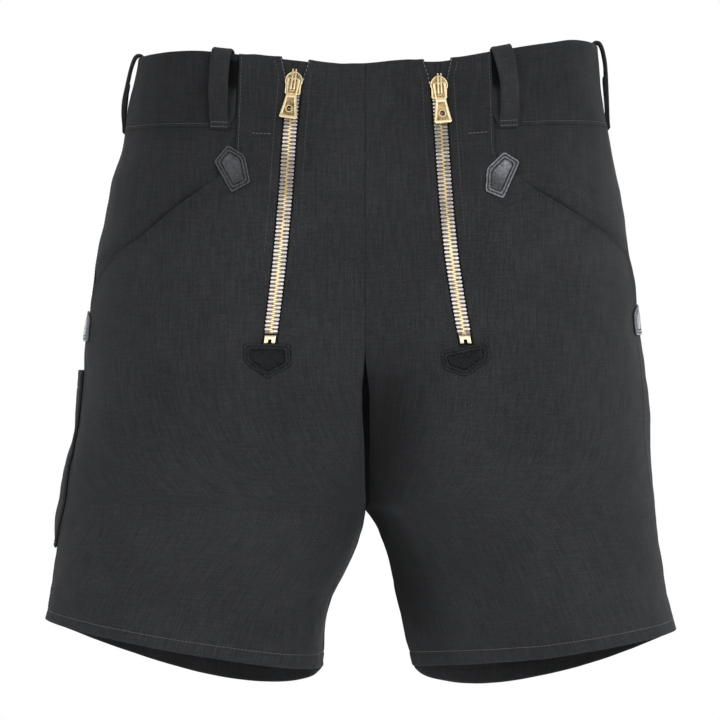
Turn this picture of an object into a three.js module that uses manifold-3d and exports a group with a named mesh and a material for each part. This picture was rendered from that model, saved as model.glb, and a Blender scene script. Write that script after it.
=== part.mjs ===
// Work shorts with two front zips, as worn, with no wearer. Millimetres, +Z up.
// The front faces -Y and the wearer's left is +X. The origin is the middle of the waist, where it is held.
// All cloth is cut from one surface, so that every piece fits its neighbours. A place on it is given by the
// side, by s, the distance round from the middle of the front, and by "at", the distance down.
import * as THREE from 'three';
import { mergeVertices } from 'three/addons/utils/BufferGeometryUtils.js';
import Module from 'manifold-3d';

const wasm = await Module();
wasm.setup();

const WALL = 1.6; // cloth
const LEATHER = 1.5;
const TAPE = 1.0; // zip tape
const GAP = 0.3; // between two pieces at a seam
const LIE = 0.5; // between a panel and what lies on it or under it
const SEAM = GAP / 2; // what each piece gives up to the gap
const CENTRE = SEAM; // where the middle seams lie, off the plane between the halves

// The section from above at each level. Heights are of the middle front and back, and of how far the back of
// the leg dips between its seams. Depths are of the front, the back and the widest point. The crests are
// where front and back stand furthest out. The last two say how square the inner and outer corners are, from
// 2 for an ellipse.
const LEVELS = table(
  ['name', 'at', 'frontZ', 'backZ', 'dip', 'frontY', 'backY', 'sideY', 'crest', 'backCrest',
    'inRound', 'outRound'],
  [
    ['waist', 0, -15.6, -5, 0, -86, 87, 2, 60, 78, 2.6, 2.0],
    ['band', 62, -67, -63, 0, -96, 103, 2, 64, 84, 2.6, 2.0],
    ['hip', 155, -156, -156, 0, -110, 126, 2, 76, 92, 2.6, 2.05],
    ['fork', 230, -230, -230, 1, -113, 129, 1, 84, 98, 2.7, 2.1],
    ['thigh', 300, -300, -300, 4, -109, 121, 0, 92, 102, 2.7, 2.1],
    ['crotch', 362, -362, -362, 11, -102, 110, 0, 104, 108, 2.5, 2.05],
    ['leg', 415, -417, -417, 18, -92, 97, 2, 124, 124, 2.2, 1.95],
    ['hem', 488, -488, -488, 29.5, -78, 82, 4, 144, 144, 2.0, 1.85],
  ],
);
// How far each side seam lies in front of the widest point at the levels.
const SIDE_SEAM = {
  right: [0, 1, 10, 24, 19, 29, 13, 6],
  left: [0, 1, 10, 30, 37, 25, 12, 6],
};
// The height of each side at the levels. The wearer's right side of the waist hangs a little lower.
const SIDE_Z = {
  right: [-2, -61, -155, -228, -296, -353, -401, -451],
  left: [8, -58, -154, -228, -297, -355, -405, -459],
};
// How far each side, and each inner leg below the crotch, lies from the middle at a height.
const SIDE_EDGE = {
  right: table(['z', 'x'], [
    [-3, 181], [-16, 183.5], [-56, 191.5], [-76, 194.5], [-99, 202], [-134, 208.5], [-155, 213],
    [-175, 216], [-195, 219], [-231, 223.5], [-256, 225], [-276, 226], [-296, 228.5], [-335, 237],
    [-371, 243.5], [-400, 247.5], [-415, 250], [-436, 253], [-452, 255],
  ]),
  left: table(['z', 'x'], [
    [8, 185.5], [-16, 187.8], [-56, 193.5], [-75, 197], [-99, 202], [-115, 205], [-135, 207.8],
    [-155, 210.5], [-175, 214.5], [-196, 216.5], [-231, 221], [-253, 224], [-276, 226.5], [-316, 228.5],
    [-356, 231.5], [-392, 235.5], [-416, 239], [-436, 243], [-459, 249],
  ]),
};
const INNER_EDGE = {
  right: table(['z', 'x'], [
    [-362, 0], [-376, 2], [-391, 7], [-415, 17.5], [-435, 28], [-451, 31.5], [-488, 34.5],
  ]),
  left: table(['z', 'x'], [
    [-362, 0], [-370, 6], [-380, 11.5], [-403, 18.8], [-425, 23.5], [-451, 29.6], [-488, 38.5],
  ]),
};
const SIGN = { right: -1, left: 1 };
const AT = Object.fromEntries(LEVELS.map((row) => [row.name, row.at]));
const DIP = { right: 0.7, left: 0.85, front: 0.08 }; // how far each leans inwards, and the front's share
// The waist's top edge rises from the middle to the side in an S, each side in its own way, down to the hip.
const RISE = { right: 0.75, left: 1.0, until: 150 };
// How far the front of the waist stands up from that line, which fades out below the waistband.
const LIFT = {
  right: table(['x', 'up'], [
    [0, 3.3], [10, 2.7], [20, 1.8], [75, 2], [85, 2.2], [94, 1.5], [112, 2], [134, 2.4], [150, 1.9],
    [166, 0.8], [178, 0],
  ]),
  left: table(['x', 'up'], [
    [0, 3.3], [10, 4], [22, 4.6], [31, 4.4], [41, 3], [49, 1.8], [60, 0.4], [76, 0], [125, 0],
    [145, 0.5], [164, 2], [176, 1.4], [186, 0],
  ]),
  until: 80,
};

// The crotch seam leaves the flat front and the seat here and curves under to meet between the legs.
const CROTCH_Y = 6;
const SQUARE = { right: 1.25, left: 0.92 }; // how square each leg's inner edges are, beside the table
const CROTCH_CURVE = {
  front: { starts: AT.fork - 6, power: 1.7 },
  back: { starts: AT.hip + 25, power: 2.0 },
};

// Soft folds: where each starts and ends, as a share of the way round the half and a distance down, with its
// half width and how far it stands out, or in where it is negative.
const FOLDS = table(
  ['side', 'share', 'at', 'endShare', 'endAt', 'width', 'height'],
  [
    ['left', 0.16, 318, 0.26, 372, 15, -2.4],
    ['left', 0.17, 262, 0.31, 300, 17, 2.0],
    ['left', 0.2, 415, 0.34, 474, 18, 1.8],
    ['right', 0.42, 385, 0.24, 432, 17, -2.2],
    ['right', 0.21, 330, 0.33, 366, 16, 1.8],
    ['right', 0.13, 22, 0.16, 66, 10, -1.4],
    ['left', 0.14, 26, 0.17, 70, 11, -1.2],
    ['left', 0.85, 318, 0.64, 352, 16, -3.2],
    ['left', 0.84, 352, 0.67, 398, 15, 2.4],
    ['right', 0.86, 312, 0.66, 340, 17, -3.0],
    ['right', 0.83, 348, 0.7, 404, 15, 2.6],
    ['left', 0.72, 90, 0.63, 150, 16, 1.8],
    ['right', 0.73, 96, 0.62, 142, 15, 1.8],
  ],
);

// The front zips run down the cloth, leaning out. The slit in the front opens in a V over the slider.
const ZIP = {
  line: {
    right: table(['at', 'x'], [
      [0, 54.2], [30, 55.8], [65, 58.5], [112, 61.4], [158, 65.3], [193, 69], [228, 73.3],
    ]),
    left: table(['at', 'x'], [
      [0, 56], [30, 57.2], [65, 59], [112, 61.9], [158, 66.1], [193, 71], [228, 77],
    ]),
  },
  ends: 232.6,
  slit: table(['at', 'half'], [[0, 9.6], [22, 7.8], [46, 6.4], [230, 6]]),
  cornerLift: 2.4, // the flaps' corners stand up beside the V
  cornerReach: 11,
  tapeHalf: 13,
  guardHalf: 19,
  chainHalf: 4.7,
  chainHeight: 2.6,
  stopLength: 6,
};
// The front panel's outer edge: the seam beside the belt loop, then the pocket mouth, down to the side seam.
const POCKET_EDGE = {
  right: table(['at', 's'], [
    [0, 98.5], [80, 100.5], [106, 106], [112, 124], [118, 145], [131, 170], [149, 198], [166, 228],
    [187, 252],
  ]),
  left: table(['at', 's'], [
    [0, 98.5], [80, 100.5], [105, 106], [111, 124], [117, 145], [128, 170], [138, 198], [149, 228],
    [160, 248],
  ]),
};
const POCKET_ENDS = 209;
const UNDERLAP = 12; // how far the yoke and waistband run on under the front panel
const SINK = { depth: WALL + 0.8, flat: 3, fade: 34 }; // how deep, and how far past the edge until they rise
const HEM = { fold: 13, thick: 1.2 };

const RULE_POCKET = { side: 'right', from: 254, to: 405, seamGap: 3, width: 58, bulge: 2.6 };
const LOOP = { width: 15.5, tacked: 60, below: 66 };
const LOOP_BOW = { side: 1.28, front: 1.6, back: 1.6 }; // how much further than the line each kind stands off
// A belt loop's middle line, from its end inside the waist, over the top edge, out and down to its tack. The
// cloth is doubled, and pressed thin where it is tacked.
const LOOP_LINE = table(
  ['at', 'out', 'thick'],
  [
    [9, -3.7, 2], [2, -3.7, 2], [-1.8, -3.4, 2], [-3.9, -1.7, 2], [-4, 0.8, 2], [-1.6, 3.1, 2],
    [6, 5.2, 2], [16, 5.9, 2], [27, 5.8, 2], [38, 5.1, 2], [49, 3.6, 2], [56, 2.3, 1.8],
    [61, 1.4, 1.5], [LOOP.below, 1.2, 1.4],
  ],
);
// Where the front loops' middles run, each slanting a little.
const FRONT_LOOPS = {
  right: table(['at', 'x'], [[0, 110.5], [33, 112], [66, 113.5]]),
  left: table(['at', 'x'], [[0, 105.5], [33, 110], [66, 111.5]]),
};

// Leather patches: their middles, by x on the front or on the side seam, and outlines out and up from there.
const SIDE_PATCH = [[12, 12.5], [-12, 12.5], [-13.5, -5], [0, -13], [13.5, -5]];
const PATCHES = {
  pocket_patch: {
    right: {
      x: 102.8,
      at: 95.5,
      outline: [[3.1, 19.4], [-10.1, 10.9], [-14.7, -10.1], [0, -18.2], [14.3, 6.2]],
    },
    left: {
      x: 106.5,
      at: 100.5,
      outline: [[0.8, 18.6], [-13.2, 5.4], [-14.3, -12.4], [0, -18.6], [14, 10.5]],
    },
  },
  zip_end_tab: {
    right: {
      x: 75.1,
      at: 243,
      outline: [[17.7, 11.5], [-18.1, 11.5], [-17.5, -5.2], [1.7, -14.8], [18.3, -2.6]],
    },
    left: {
      x: 76.9,
      at: 242.5,
      outline: [[17.5, 12.3], [-19, 5], [-15.7, -8.2], [1.5, -14], [19.2, -1]],
    },
  },
  side_patch: { right: { at: 218, outline: SIDE_PATCH }, left: { at: 213, outline: SIDE_PATCH } },
};
const DOME = { zip_end_tab: 1.2 }; // how far a patch's middle stands out

// Brass slider and pull tab, in the zip's own frame: across, up along the zip, and out from the cloth.
const SLIDER = {
  at: { right: 22.2, left: 25.2 }, // how far down each zip it stands, where the chain parts
  plate: { half: 6.5, bottomHalf: 5.9, up: 2.5, down: -9.5, low: 1.6, thick: 1.6 },
  flange: { inner: 5.15, outer: 5.9, low: -0.4, up: -1, down: -8.5 },
  crown: { half: 1.8, up: 9.6, down: -7.6, legs: 1.7, inside: 6.3, top: 7.7 },
};
const PULL = {
  pivotUp: 2,
  pivotOut: 4.75,
  thick: 1.8,
  bar: 1.0, // the thin bar under the crown, round which it turns
  outline: [[5.2, 0], [4.1, -12], [7, -29.4], [5.4, -31]],
  slot: { half: 2.5, end: -11 },
  recess: { depth: 0.5, top: [2.8, -15], bottom: [4.6, -28] },
  hole: { r: 1.7, y: -24.5 },
};

const CLOTH = { color: 0x34363a, roughness: 0.92, metalness: 0 };
const HIDE = { color: 0x1f242b, roughness: 0.45, metalness: 0 };
const BRASS = { color: 0xd9b978, roughness: 0.25, metalness: 1 };
const TAPE_CLOTH = { color: 0x1c1d1f, roughness: 0.85, metalness: 0 };

function table(columns, rows) {
  return rows.map((row) => Object.fromEntries(columns.map((column, i) => [column, row[i]])));
}

// A smooth curve through a table's rows that never overshoots them, and runs on straight past its ends.
function curveOf(xs, ys) {
  const slopes = xs.slice(1).map((x, i) => (ys[i + 1] - ys[i]) / (x - xs[i]));
  const tangents = xs.map((_, i) => {
    if (i === 0) return slopes[0];
    if (i === xs.length - 1) return slopes[i - 1];
    const [before, after] = [slopes[i - 1], slopes[i]];
    return before * after <= 0 ? 0 : (2 * before * after) / (before + after);
  });
  return (x) => {
    if (x <= xs[0]) return ys[0] + tangents[0] * (x - xs[0]);
    const last = xs.length - 1;
    if (x >= xs[last]) return ys[last] + tangents[last] * (x - xs[last]);
    const i = xs.findIndex((_, k) => x < xs[k + 1]);
    const width = xs[i + 1] - xs[i];
    const t = (x - xs[i]) / width;
    const [t2, t3] = [t * t, t * t * t];
    return (
      (2 * t3 - 3 * t2 + 1) * ys[i] + (t3 - 2 * t2 + t) * width * tangents[i] +
      (3 * t2 - 2 * t3) * ys[i + 1] + (t3 - t2) * width * tangents[i + 1]
    );
  };
}

const column = (rows, key, xKey = 'at') => curveOf(rows.map((r) => r[xKey]), rows.map((r) => r[key]));
// A curve through rows whose heights run downwards.
function falling(rows) {
  const curve = curveOf(rows.map((r) => -r.z), rows.map((r) => r.x));
  return (z) => curve(-z);
}
const LEVEL_CURVES = Object.fromEntries(
  Object.keys(LEVELS[0]).slice(2).map((key) => [key, column(LEVELS, key)]),
);
const levelsAt = LEVELS.map((level) => level.at);
const bySide = (made) => ({ right: made('right'), left: made('left') });
const sideZ = bySide((side) => curveOf(levelsAt, SIDE_Z[side]));
const sideX = bySide((side) => falling(SIDE_EDGE[side]));
const seamAhead = bySide((side) => curveOf(levelsAt, SIDE_SEAM[side]));
const liftUp = bySide((side) => column(LIFT[side], 'up', 'x'));
const innerX = bySide((side) => falling(INNER_EDGE[side]));
const zipX = bySide((side) => column(ZIP.line[side], 'x'));
const slitHalf = column(ZIP.slit, 'half');
const smooth = (t) => {
  const k = Math.min(1, Math.max(0, t));
  return k * k * (3 - 2 * k);
};

// How far back a crotch seam has curved at a level, from 1 on the flat to 0 between the legs.
function seamReach({ starts, power }, at) {
  const t = Math.min(1, Math.max(0, (at - starts) / (AT.crotch - starts)));
  return (1 - t ** power) ** (1 / power);
}

// One half at one level: points from the inner front edge, round the side, to the inner back edge.
const SAMPLES = 60;
const outlines = new Map();
function outlineAt(side, at) {
  const key = side + at.toFixed(4);
  if (outlines.has(key)) return outlines.get(key);
  const v = {};
  for (const [name, curve] of Object.entries(LEVEL_CURVES)) v[name] = curve(at);
  v.outerZ = sideZ[side](at);
  v.outerX = sideX[side](v.outerZ);
  v.innerX = (at < AT.crotch ? 0 : Math.max(0, innerX[side](v.frontZ))) + CENTRE;
  v.innerFrontY = CROTCH_Y + (v.frontY - CROTCH_Y) * seamReach(CROTCH_CURVE.front, at);
  v.innerBackY = CROTCH_Y + (v.backY - CROTCH_Y) * seamReach(CROTCH_CURVE.back, at);
  const inRound = Math.max(2, v.inRound * SQUARE[side]);
  // Four rounded corners: the middle of each, and its reach at its start and at its end.
  const { crest, backCrest, sideY, frontY, backY, innerFrontY, innerBackY, outRound } = v;
  const quarters = [
    { x: crest, y: innerFrontY, startX: v.innerX - crest, endY: frontY - innerFrontY, round: inRound },
    { x: crest, y: sideY, startY: frontY - sideY, endX: v.outerX - crest, round: outRound },
    { x: backCrest, y: sideY, startX: v.outerX - backCrest, endY: backY - sideY, round: outRound },
    { x: backCrest, y: innerBackY, startY: backY - innerBackY, endX: v.innerX - backCrest, round: inRound },
  ];
  const points = [];
  quarters.forEach((q, k) => {
    for (let i = k ? 1 : 0; i <= SAMPLES; i++) {
      const angle = (i / SAMPLES) * (Math.PI / 2);
      const near = Math.max(0, Math.cos(angle)) ** (2 / q.round);
      const far = Math.sin(angle) ** (2 / q.round);
      const x = q.x + (q.startX ?? 0) * near + (q.endX ?? 0) * far;
      const y = q.y + (q.startY ?? 0) * near + (q.endY ?? 0) * far;
      points.push({ x, y, front: k < 2 });
    }
  });
  let length = 0;
  points.forEach((p, i) => {
    if (i) length += Math.hypot(p.x - points[i - 1].x, p.y - points[i - 1].y);
    p.s = length;
  });
  const widest = points[2 * SAMPLES].s;
  const made = { ...v, points, length, seamS: widest - seamAhead[side](at) };
  outlines.set(key, made);
  return made;
}

// The distance round the cloth to a place on the front that is x from the middle.
function sAtX(side, at, x) {
  const { points } = outlineAt(side, at);
  const i = points.findIndex((p, k) => k && p.x >= x);
  const [a, b] = [points[i - 1], points[i]];
  return a.s + ((b.s - a.s) * (x - a.x)) / (b.x - a.x || 1);
}

function barePoint(side, s, at) {
  const o = outlineAt(side, at);
  const { points } = o;
  let [low, high] = [0, points.length - 1];
  while (high - low > 1) {
    const middle = (low + high) >> 1;
    if (points[middle].s <= s) low = middle;
    else high = middle;
  }
  const t = (s - points[low].s) / (points[high].s - points[low].s || 1);
  const x = points[low].x + (points[high].x - points[low].x) * t;
  const y = points[low].y + (points[high].y - points[low].y) * t;
  const across = Math.min(1, Math.max(0, (x - o.innerX) / (o.outerX - o.innerX)));
  const dip = o.dip * Math.sin(Math.PI * across ** DIP[side]) ** 0.7 * (points[low].front ? DIP.front : 1);
  const innerZ = points[low].front ? o.frontZ : o.backZ;
  const ease = 1 - smooth(at / RISE.until);
  const rise = across + (smooth(across ** RISE[side]) - across) * ease;
  const lift = points[low].front ? Math.max(0, liftUp[side](x)) * (1 - smooth(at / LIFT.until)) : 0;
  return new THREE.Vector3(x * SIGN[side], y, innerZ + (o.outerZ - innerZ) * rise - dip + lift);
}

function foldHeight(side, share, at) {
  let height = 0;
  for (const f of FOLDS) {
    if (f.side !== side) continue;
    // Shares become millimetres by the usual length of a half, so that a fold is as wide both ways.
    const [alongX, alongY] = [(f.endShare - f.share) * HALF_ROUND, f.endAt - f.at];
    const [x, y] = [(share - f.share) * HALF_ROUND, at - f.at];
    const t = Math.min(1, Math.max(0, (x * alongX + y * alongY) / (alongX ** 2 + alongY ** 2)));
    const away = Math.hypot(x - alongX * t, y - alongY * t) / f.width;
    height += f.height * Math.exp(-away * away) * (0.55 + 0.45 * Math.sin(Math.PI * t));
  }
  return height;
}

const STEP = 2; // the reach of the slopes that give the surface its direction
const HALF_ROUND = 520;
function normalAt(side, s, at) {
  const { length } = outlineAt(side, at);
  const [before, after] = [Math.max(0, s - STEP), Math.min(length, s + STEP)];
  const round = barePoint(side, after, at).sub(barePoint(side, before, at));
  const down = barePoint(side, s, at + STEP).sub(barePoint(side, s, at - STEP));
  return down.cross(round).multiplyScalar(SIGN[side]).normalize();
}

// A point of the cloth's outer face, moved out by "out" along the way the cloth faces.
function clothPoint(side, s, at, out = 0) {
  const height = foldHeight(side, s / outlineAt(side, at).length, at);
  return barePoint(side, s, at).addScaledVector(normalAt(side, s, at), height + out);
}

const steps = (from, to, count) =>
  Array.from({ length: count + 1 }, (_, i) => from + ((to - from) * i) / count);
const joined = (...lists) => lists.flatMap((list, i) => (i ? list.slice(1) : list));

// A closed wall over a grid: place(i, j, inner) gives both faces' points, and cut(i, j) leaves a cell out.
function wallOver(rows, columns, place, cut = () => false, mirrored = false) {
  const positions = [];
  const index = [];
  const numbers = new Map();
  const corner = (i, j, inner) => {
    const key = `${i},${j},${inner}`;
    if (!numbers.has(key)) {
      numbers.set(key, positions.length / 3);
      positions.push(...place(i, j, inner).toArray());
    }
    return numbers.get(key);
  };
  const face = (a, b, c, d) => (mirrored ? index.push(a, c, b, a, d, c) : index.push(a, b, c, a, c, d));
  const whole = (i, j) => i >= 0 && j >= 0 && i < rows && j < columns && !cut(i, j);
  for (let i = 0; i < rows; i++) {
    for (let j = 0; j < columns; j++) {
      if (!whole(i, j)) continue;
      const [a, b, c, d] = [[i, j], [i + 1, j], [i + 1, j + 1], [i, j + 1]];
      face(corner(...a, 0), corner(...b, 0), corner(...c, 0), corner(...d, 0));
      face(corner(...a, 1), corner(...d, 1), corner(...c, 1), corner(...b, 1));
      const edges = [[a, b, i, j - 1], [b, c, i + 1, j], [c, d, i, j + 1], [d, a, i - 1, j]];
      for (const [from, to, beyondI, beyondJ] of edges) {
        if (whole(beyondI, beyondJ)) continue;
        face(corner(...from, 0), corner(...from, 1), corner(...to, 1), corner(...to, 0));
      }
    }
  }
  return new THREE.BufferGeometry()
    .setAttribute('position', new THREE.Float32BufferAttribute(positions, 3))
    .setIndex(index);
}

// A panel of cloth: its levels, the places across it at each level, and its two faces.
function panel(side, levels, across, { out = () => 0, thick = () => WALL, lift = () => 0, cut } = {}) {
  const places = levels.map((at) => across(at));
  const place = (i, j, inner) => {
    const [at, s] = [levels[i], places[i][j]];
    const raised = i === 0 ? lift(s) : 0;
    return clothPoint(side, s, at - raised, out(s, at) - (inner ? thick(s, at) : 0));
  };
  return wallOver(levels.length - 1, places[0].length - 1, place, cut, side === 'right');
}

const legThick = (s, at) => (at > AT.hem - HEM.fold ? WALL + HEM.thick : WALL);
const innerStart = (at) => (at < AT.crotch ? 0 : SEAM);
const zipS = (side, at, off) => sAtX(side, at, zipX[side](at) + off);

// The front panel's outer edge.
function edgeCurve(side) {
  const rows = [...POCKET_EDGE[side], { at: POCKET_ENDS, s: outlineAt(side, POCKET_ENDS).seamS - SEAM }];
  const curve = column(rows, 's');
  return (at) => (at < POCKET_ENDS ? curve(at) : outlineAt(side, at).seamS - SEAM);
}
const EDGE = { left: edgeCurve('left'), right: edgeCurve('right') };

// The yoke and waistband lie under the front panel along its edge, and rise level with it further off.
const sunk = (side) => (s, at) =>
  -SINK.depth * (1 - smooth((s - EDGE[side](at) - SINK.flat) / SINK.fade));

const HIP_ROWS = joined(
  [AT.band + SEAM, 84, 106, 113, 120], steps(120, 160, 6), [160, 172, 184, 196, POCKET_ENDS - 4],
);
const HEM_ROWS = [AT.hem - HEM.fold, AT.hem - HEM.fold + 0.5, AT.hem];
const LEG_ROWS = joined(
  steps(AT.fork, AT.thigh, 4), steps(AT.thigh, 336, 2), [336, 346, 354, 359, AT.crotch],
  steps(AT.crotch, AT.hem - HEM.fold, 6), HEM_ROWS,
);
const FRONT_ROWS = joined(
  [0, 22, 46], steps(46, 106, 3), [106, 113, 120], steps(120, 160, 6), steps(160, POCKET_ENDS, 4),
  [POCKET_ENDS, ZIP.ends],
).concat(LEG_ROWS.slice(1));

const cornerLift = (side, s) =>
  ZIP.cornerLift * Math.exp(-(((s - zipS(side, 0, 0)) / ZIP.cornerReach) ** 2));

function frontPanel(side) {
  const counts = { inner: 8, outer: 13 };
  const across = (at) => joined(
    steps(innerStart(at), zipS(side, at, -slitHalf(at)), counts.inner),
    [zipS(side, at, -slitHalf(at)), zipS(side, at, slitHalf(at))],
    steps(zipS(side, at, slitHalf(at)), EDGE[side](at), counts.outer),
  );
  const cut = (i, j) => j === counts.inner && FRONT_ROWS[i] < ZIP.ends - 0.5;
  return panel(side, FRONT_ROWS, across, { thick: legThick, lift: (s) => cornerLift(side, s), cut });
}

function backPanel(side) {
  const rows = [...HIP_ROWS, ...LEG_ROWS];
  const across = (at) => {
    const o = outlineAt(side, at);
    return steps(o.seamS + SEAM, o.length - innerStart(at), 14);
  };
  return panel(side, rows, across, { thick: legThick });
}

function waistband(side) {
  const across = (at) => {
    const o = outlineAt(side, at);
    return joined(
      steps(EDGE[side](at) - UNDERLAP, EDGE[side](at) + SINK.fade, 4),
      steps(EDGE[side](at) + SINK.fade, o.length, 20),
    );
  };
  return panel(side, steps(0, AT.band - SEAM, 3), across, { out: sunk(side) });
}

function hipYoke(side) {
  const across = (at) => steps(EDGE[side](at) - UNDERLAP, outlineAt(side, at).seamS - SEAM, 7);
  return panel(side, HIP_ROWS, across, { out: sunk(side) });
}

// A strip along the zip line, between two distances from it.
function zipStrip(side, rows, across, top, bottom, cut) {
  const place = (i, j, inner) => {
    const at = rows[i];
    return clothPoint(side, zipS(side, at, across(at)[j]), at, inner ? bottom : top);
  };
  return wallOver(rows.length - 1, across(0).length - 1, place, cut, side === 'right');
}

const zipRows = (side) => joined([1.5, SLIDER.at[side]], steps(SLIDER.at[side], ZIP.ends - 1, 9));
const UNDER_FRONT = -WALL - LIE;
const CHAIN_BOTTOM = UNDER_FRONT + GAP;
const parted = (i, j) => i === 0 && j === 1;
const PARTED = { together: 0.4, apart: 3 }; // half the gap between the chain's sides, below and at the top
const partHalf = (side, at) => PARTED.together + PARTED.apart * Math.max(0, 1 - at / SLIDER.at[side]);

function zipTape(side) {
  const across = (at) => [-ZIP.tapeHalf, -partHalf(side, at), partHalf(side, at), ZIP.tapeHalf];
  return zipStrip(side, [...zipRows(side), ZIP.ends + 8], across, UNDER_FRONT, UNDER_FRONT - TAPE, parted);
}
function zipChain(side) {
  const across = (at) => {
    const half = partHalf(side, at);
    const shift = half - PARTED.together;
    return [-ZIP.chainHalf - shift, -half, half, ZIP.chainHalf + shift];
  };
  return zipStrip(side, zipRows(side).slice(0, -1).concat(ZIP.ends - ZIP.stopLength - 2), across,
    CHAIN_BOTTOM + ZIP.chainHeight, CHAIN_BOTTOM, parted);
}
function zipStop(side) {
  const rows = [ZIP.ends - ZIP.stopLength - 1.5, ZIP.ends - 1.5];
  return zipStrip(side, rows, () => [-3.8, 0, 3.8], CHAIN_BOTTOM + ZIP.chainHeight + 0.4, CHAIN_BOTTOM);
}
function zipGuard(side) {
  const top = UNDER_FRONT - TAPE - LIE;
  const rows = joined([0.5, SLIDER.at[side]], steps(SLIDER.at[side], ZIP.ends + 12, 8));
  return zipStrip(side, rows, () => [-ZIP.guardHalf, 0, ZIP.guardHalf], top, top - WALL);
}

// A patch lying on the cloth: its outline with soft corners, filled with rings that close on its middle.
function patch(side, { x, at: middleAt, outline }, dome = 0) {
  const middleS = x ? sAtX(side, middleAt, x) : outlineAt(side, middleAt).seamS;
  const edge = [];
  outline.forEach(([x, z], i) => {
    const [lastX, lastZ] = outline[(i + outline.length - 1) % outline.length];
    const [nextX, nextZ] = outline[(i + 1) % outline.length];
    const soft = 0.07;
    edge.push(
      [x + (lastX - x) * soft, z + (lastZ - z) * soft],
      [x + (nextX - x) * soft, z + (nextZ - z) * soft],
      [(x + nextX) / 2, (z + nextZ) / 2],
    );
  });
  const rings = [1, 0.62, 0.24];
  const positions = [];
  const place = (away, up, out) => {
    positions.push(...clothPoint(side, middleS + away, middleAt - up, out).toArray());
  };
  for (const out of [LIE + LEATHER, LIE]) {
    rings.forEach((share) => {
      const raised = out > LIE ? dome * (1 - share) : 0;
      edge.forEach(([x, z]) => place(x * share, z * share, out + raised));
    });
    place(0, 0, out + (out > LIE ? dome : 0));
  }
  const count = edge.length;
  const layer = count * rings.length + 1;
  const index = [];
  const turned = side === 'right';
  const add = (a, b, c) => (turned ? index.push(a, c, b) : index.push(a, b, c));
  for (let i = 0; i < count; i++) {
    const n = (i + 1) % count;
    for (let r = 0; r + 1 < rings.length; r++) {
      const [a, b, c, d] = [r * count + i, r * count + n, (r + 1) * count + n, (r + 1) * count + i];
      add(a, b, c);
      add(a, c, d);
      add(layer + a, layer + c, layer + b);
      add(layer + a, layer + d, layer + c);
    }
    const last = (rings.length - 1) * count;
    add(last + i, last + n, layer - 1);
    add(layer + last + n, layer + last + i, 2 * layer - 1);
    add(i, layer + i, layer + n);
    add(i, layer + n, n);
  }
  return new THREE.BufferGeometry()
    .setAttribute('position', new THREE.Float32BufferAttribute(positions, 3))
    .setIndex(index);
}

// A belt loop: a strip whose two faces lie half its thickness either side of its line.
function beltLoop(side, middle, bow, out = () => 0) {
  const faces = LOOP_LINE.map((p, i) => {
    const half = p.thick / 2;
    const bowed = ({ at, out: away }) => (at < LOOP.tacked && away > 0 ? away * bow : away);
    const before = LOOP_LINE[Math.max(0, i - 1)];
    const after = LOOP_LINE[Math.min(LOOP_LINE.length - 1, i + 1)];
    const [dAt, dOut] = [after.at - before.at, bowed(after) - bowed(before)];
    const length = Math.hypot(dAt, dOut);
    return [1, -1].map((way) => ({
      at: p.at - (way * half * dOut) / length,
      out: bowed(p) + (way * half * dAt) / length,
    }));
  });
  const place = (i, j, inner) => {
    const { at, out: away } = faces[i][inner];
    const s = middle(at) + (j - 1) * (LOOP.width / 2);
    return placeOnHalf(side, s, at, away + out(s, at));
  };
  return wallOver(LOOP_LINE.length - 1, 2, place, () => false, side === 'right');
}

// As clothPoint, but a place past the middle seam is on the other half.
function placeOnHalf(side, s, at, out) {
  const { length } = outlineAt(side, Math.max(0, at));
  if (s <= length) return clothPoint(side, s, at, out);
  const other = side === 'left' ? 'right' : 'left';
  return clothPoint(other, outlineAt(other, Math.max(0, at)).length - (s - length), at, out);
}

function rulePocket() {
  const { side, from, to, seamGap, width, bulge } = RULE_POCKET;
  const start = (at) => outlineAt(side, at).seamS + seamGap;
  const out = (s, at) => {
    const across = Math.min(1, Math.max(0, (s - start(at)) / width));
    const closing = Math.min(1, (6 * (to - at)) / (to - from));
    return LIE + WALL + bulge * Math.sin(Math.PI * across) ** 0.6 * closing;
  };
  return panel(side, steps(from, to, 9), (at) => steps(start(at), start(at) + width, 5), { out });
}

function solidOf(geometry) {
  const bare = geometry.clone();
  bare.deleteAttribute('normal');
  bare.deleteAttribute('uv');
  const merged = mergeVertices(bare, 1e-4);
  return new wasm.Manifold(new wasm.Mesh({
    numProp: 3,
    vertProperties: merged.attributes.position.array,
    triVerts: new Uint32Array(merged.index.array),
  }));
}

function geometryOf(solid) {
  const mesh = solid.getMesh();
  return new THREE.BufferGeometry()
    .setAttribute('position', new THREE.BufferAttribute(mesh.vertProperties, 3))
    .setIndex(new THREE.BufferAttribute(mesh.triVerts, 1));
}

function extruded(shape, depth, curveSegments = 6) {
  return new THREE.ExtrudeGeometry(shape, { depth, bevelEnabled: false, curveSegments });
}
const outlineShape = (points) => new THREE.Shape(points.map(([x, y]) => new THREE.Vector2(x, y)));

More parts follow.
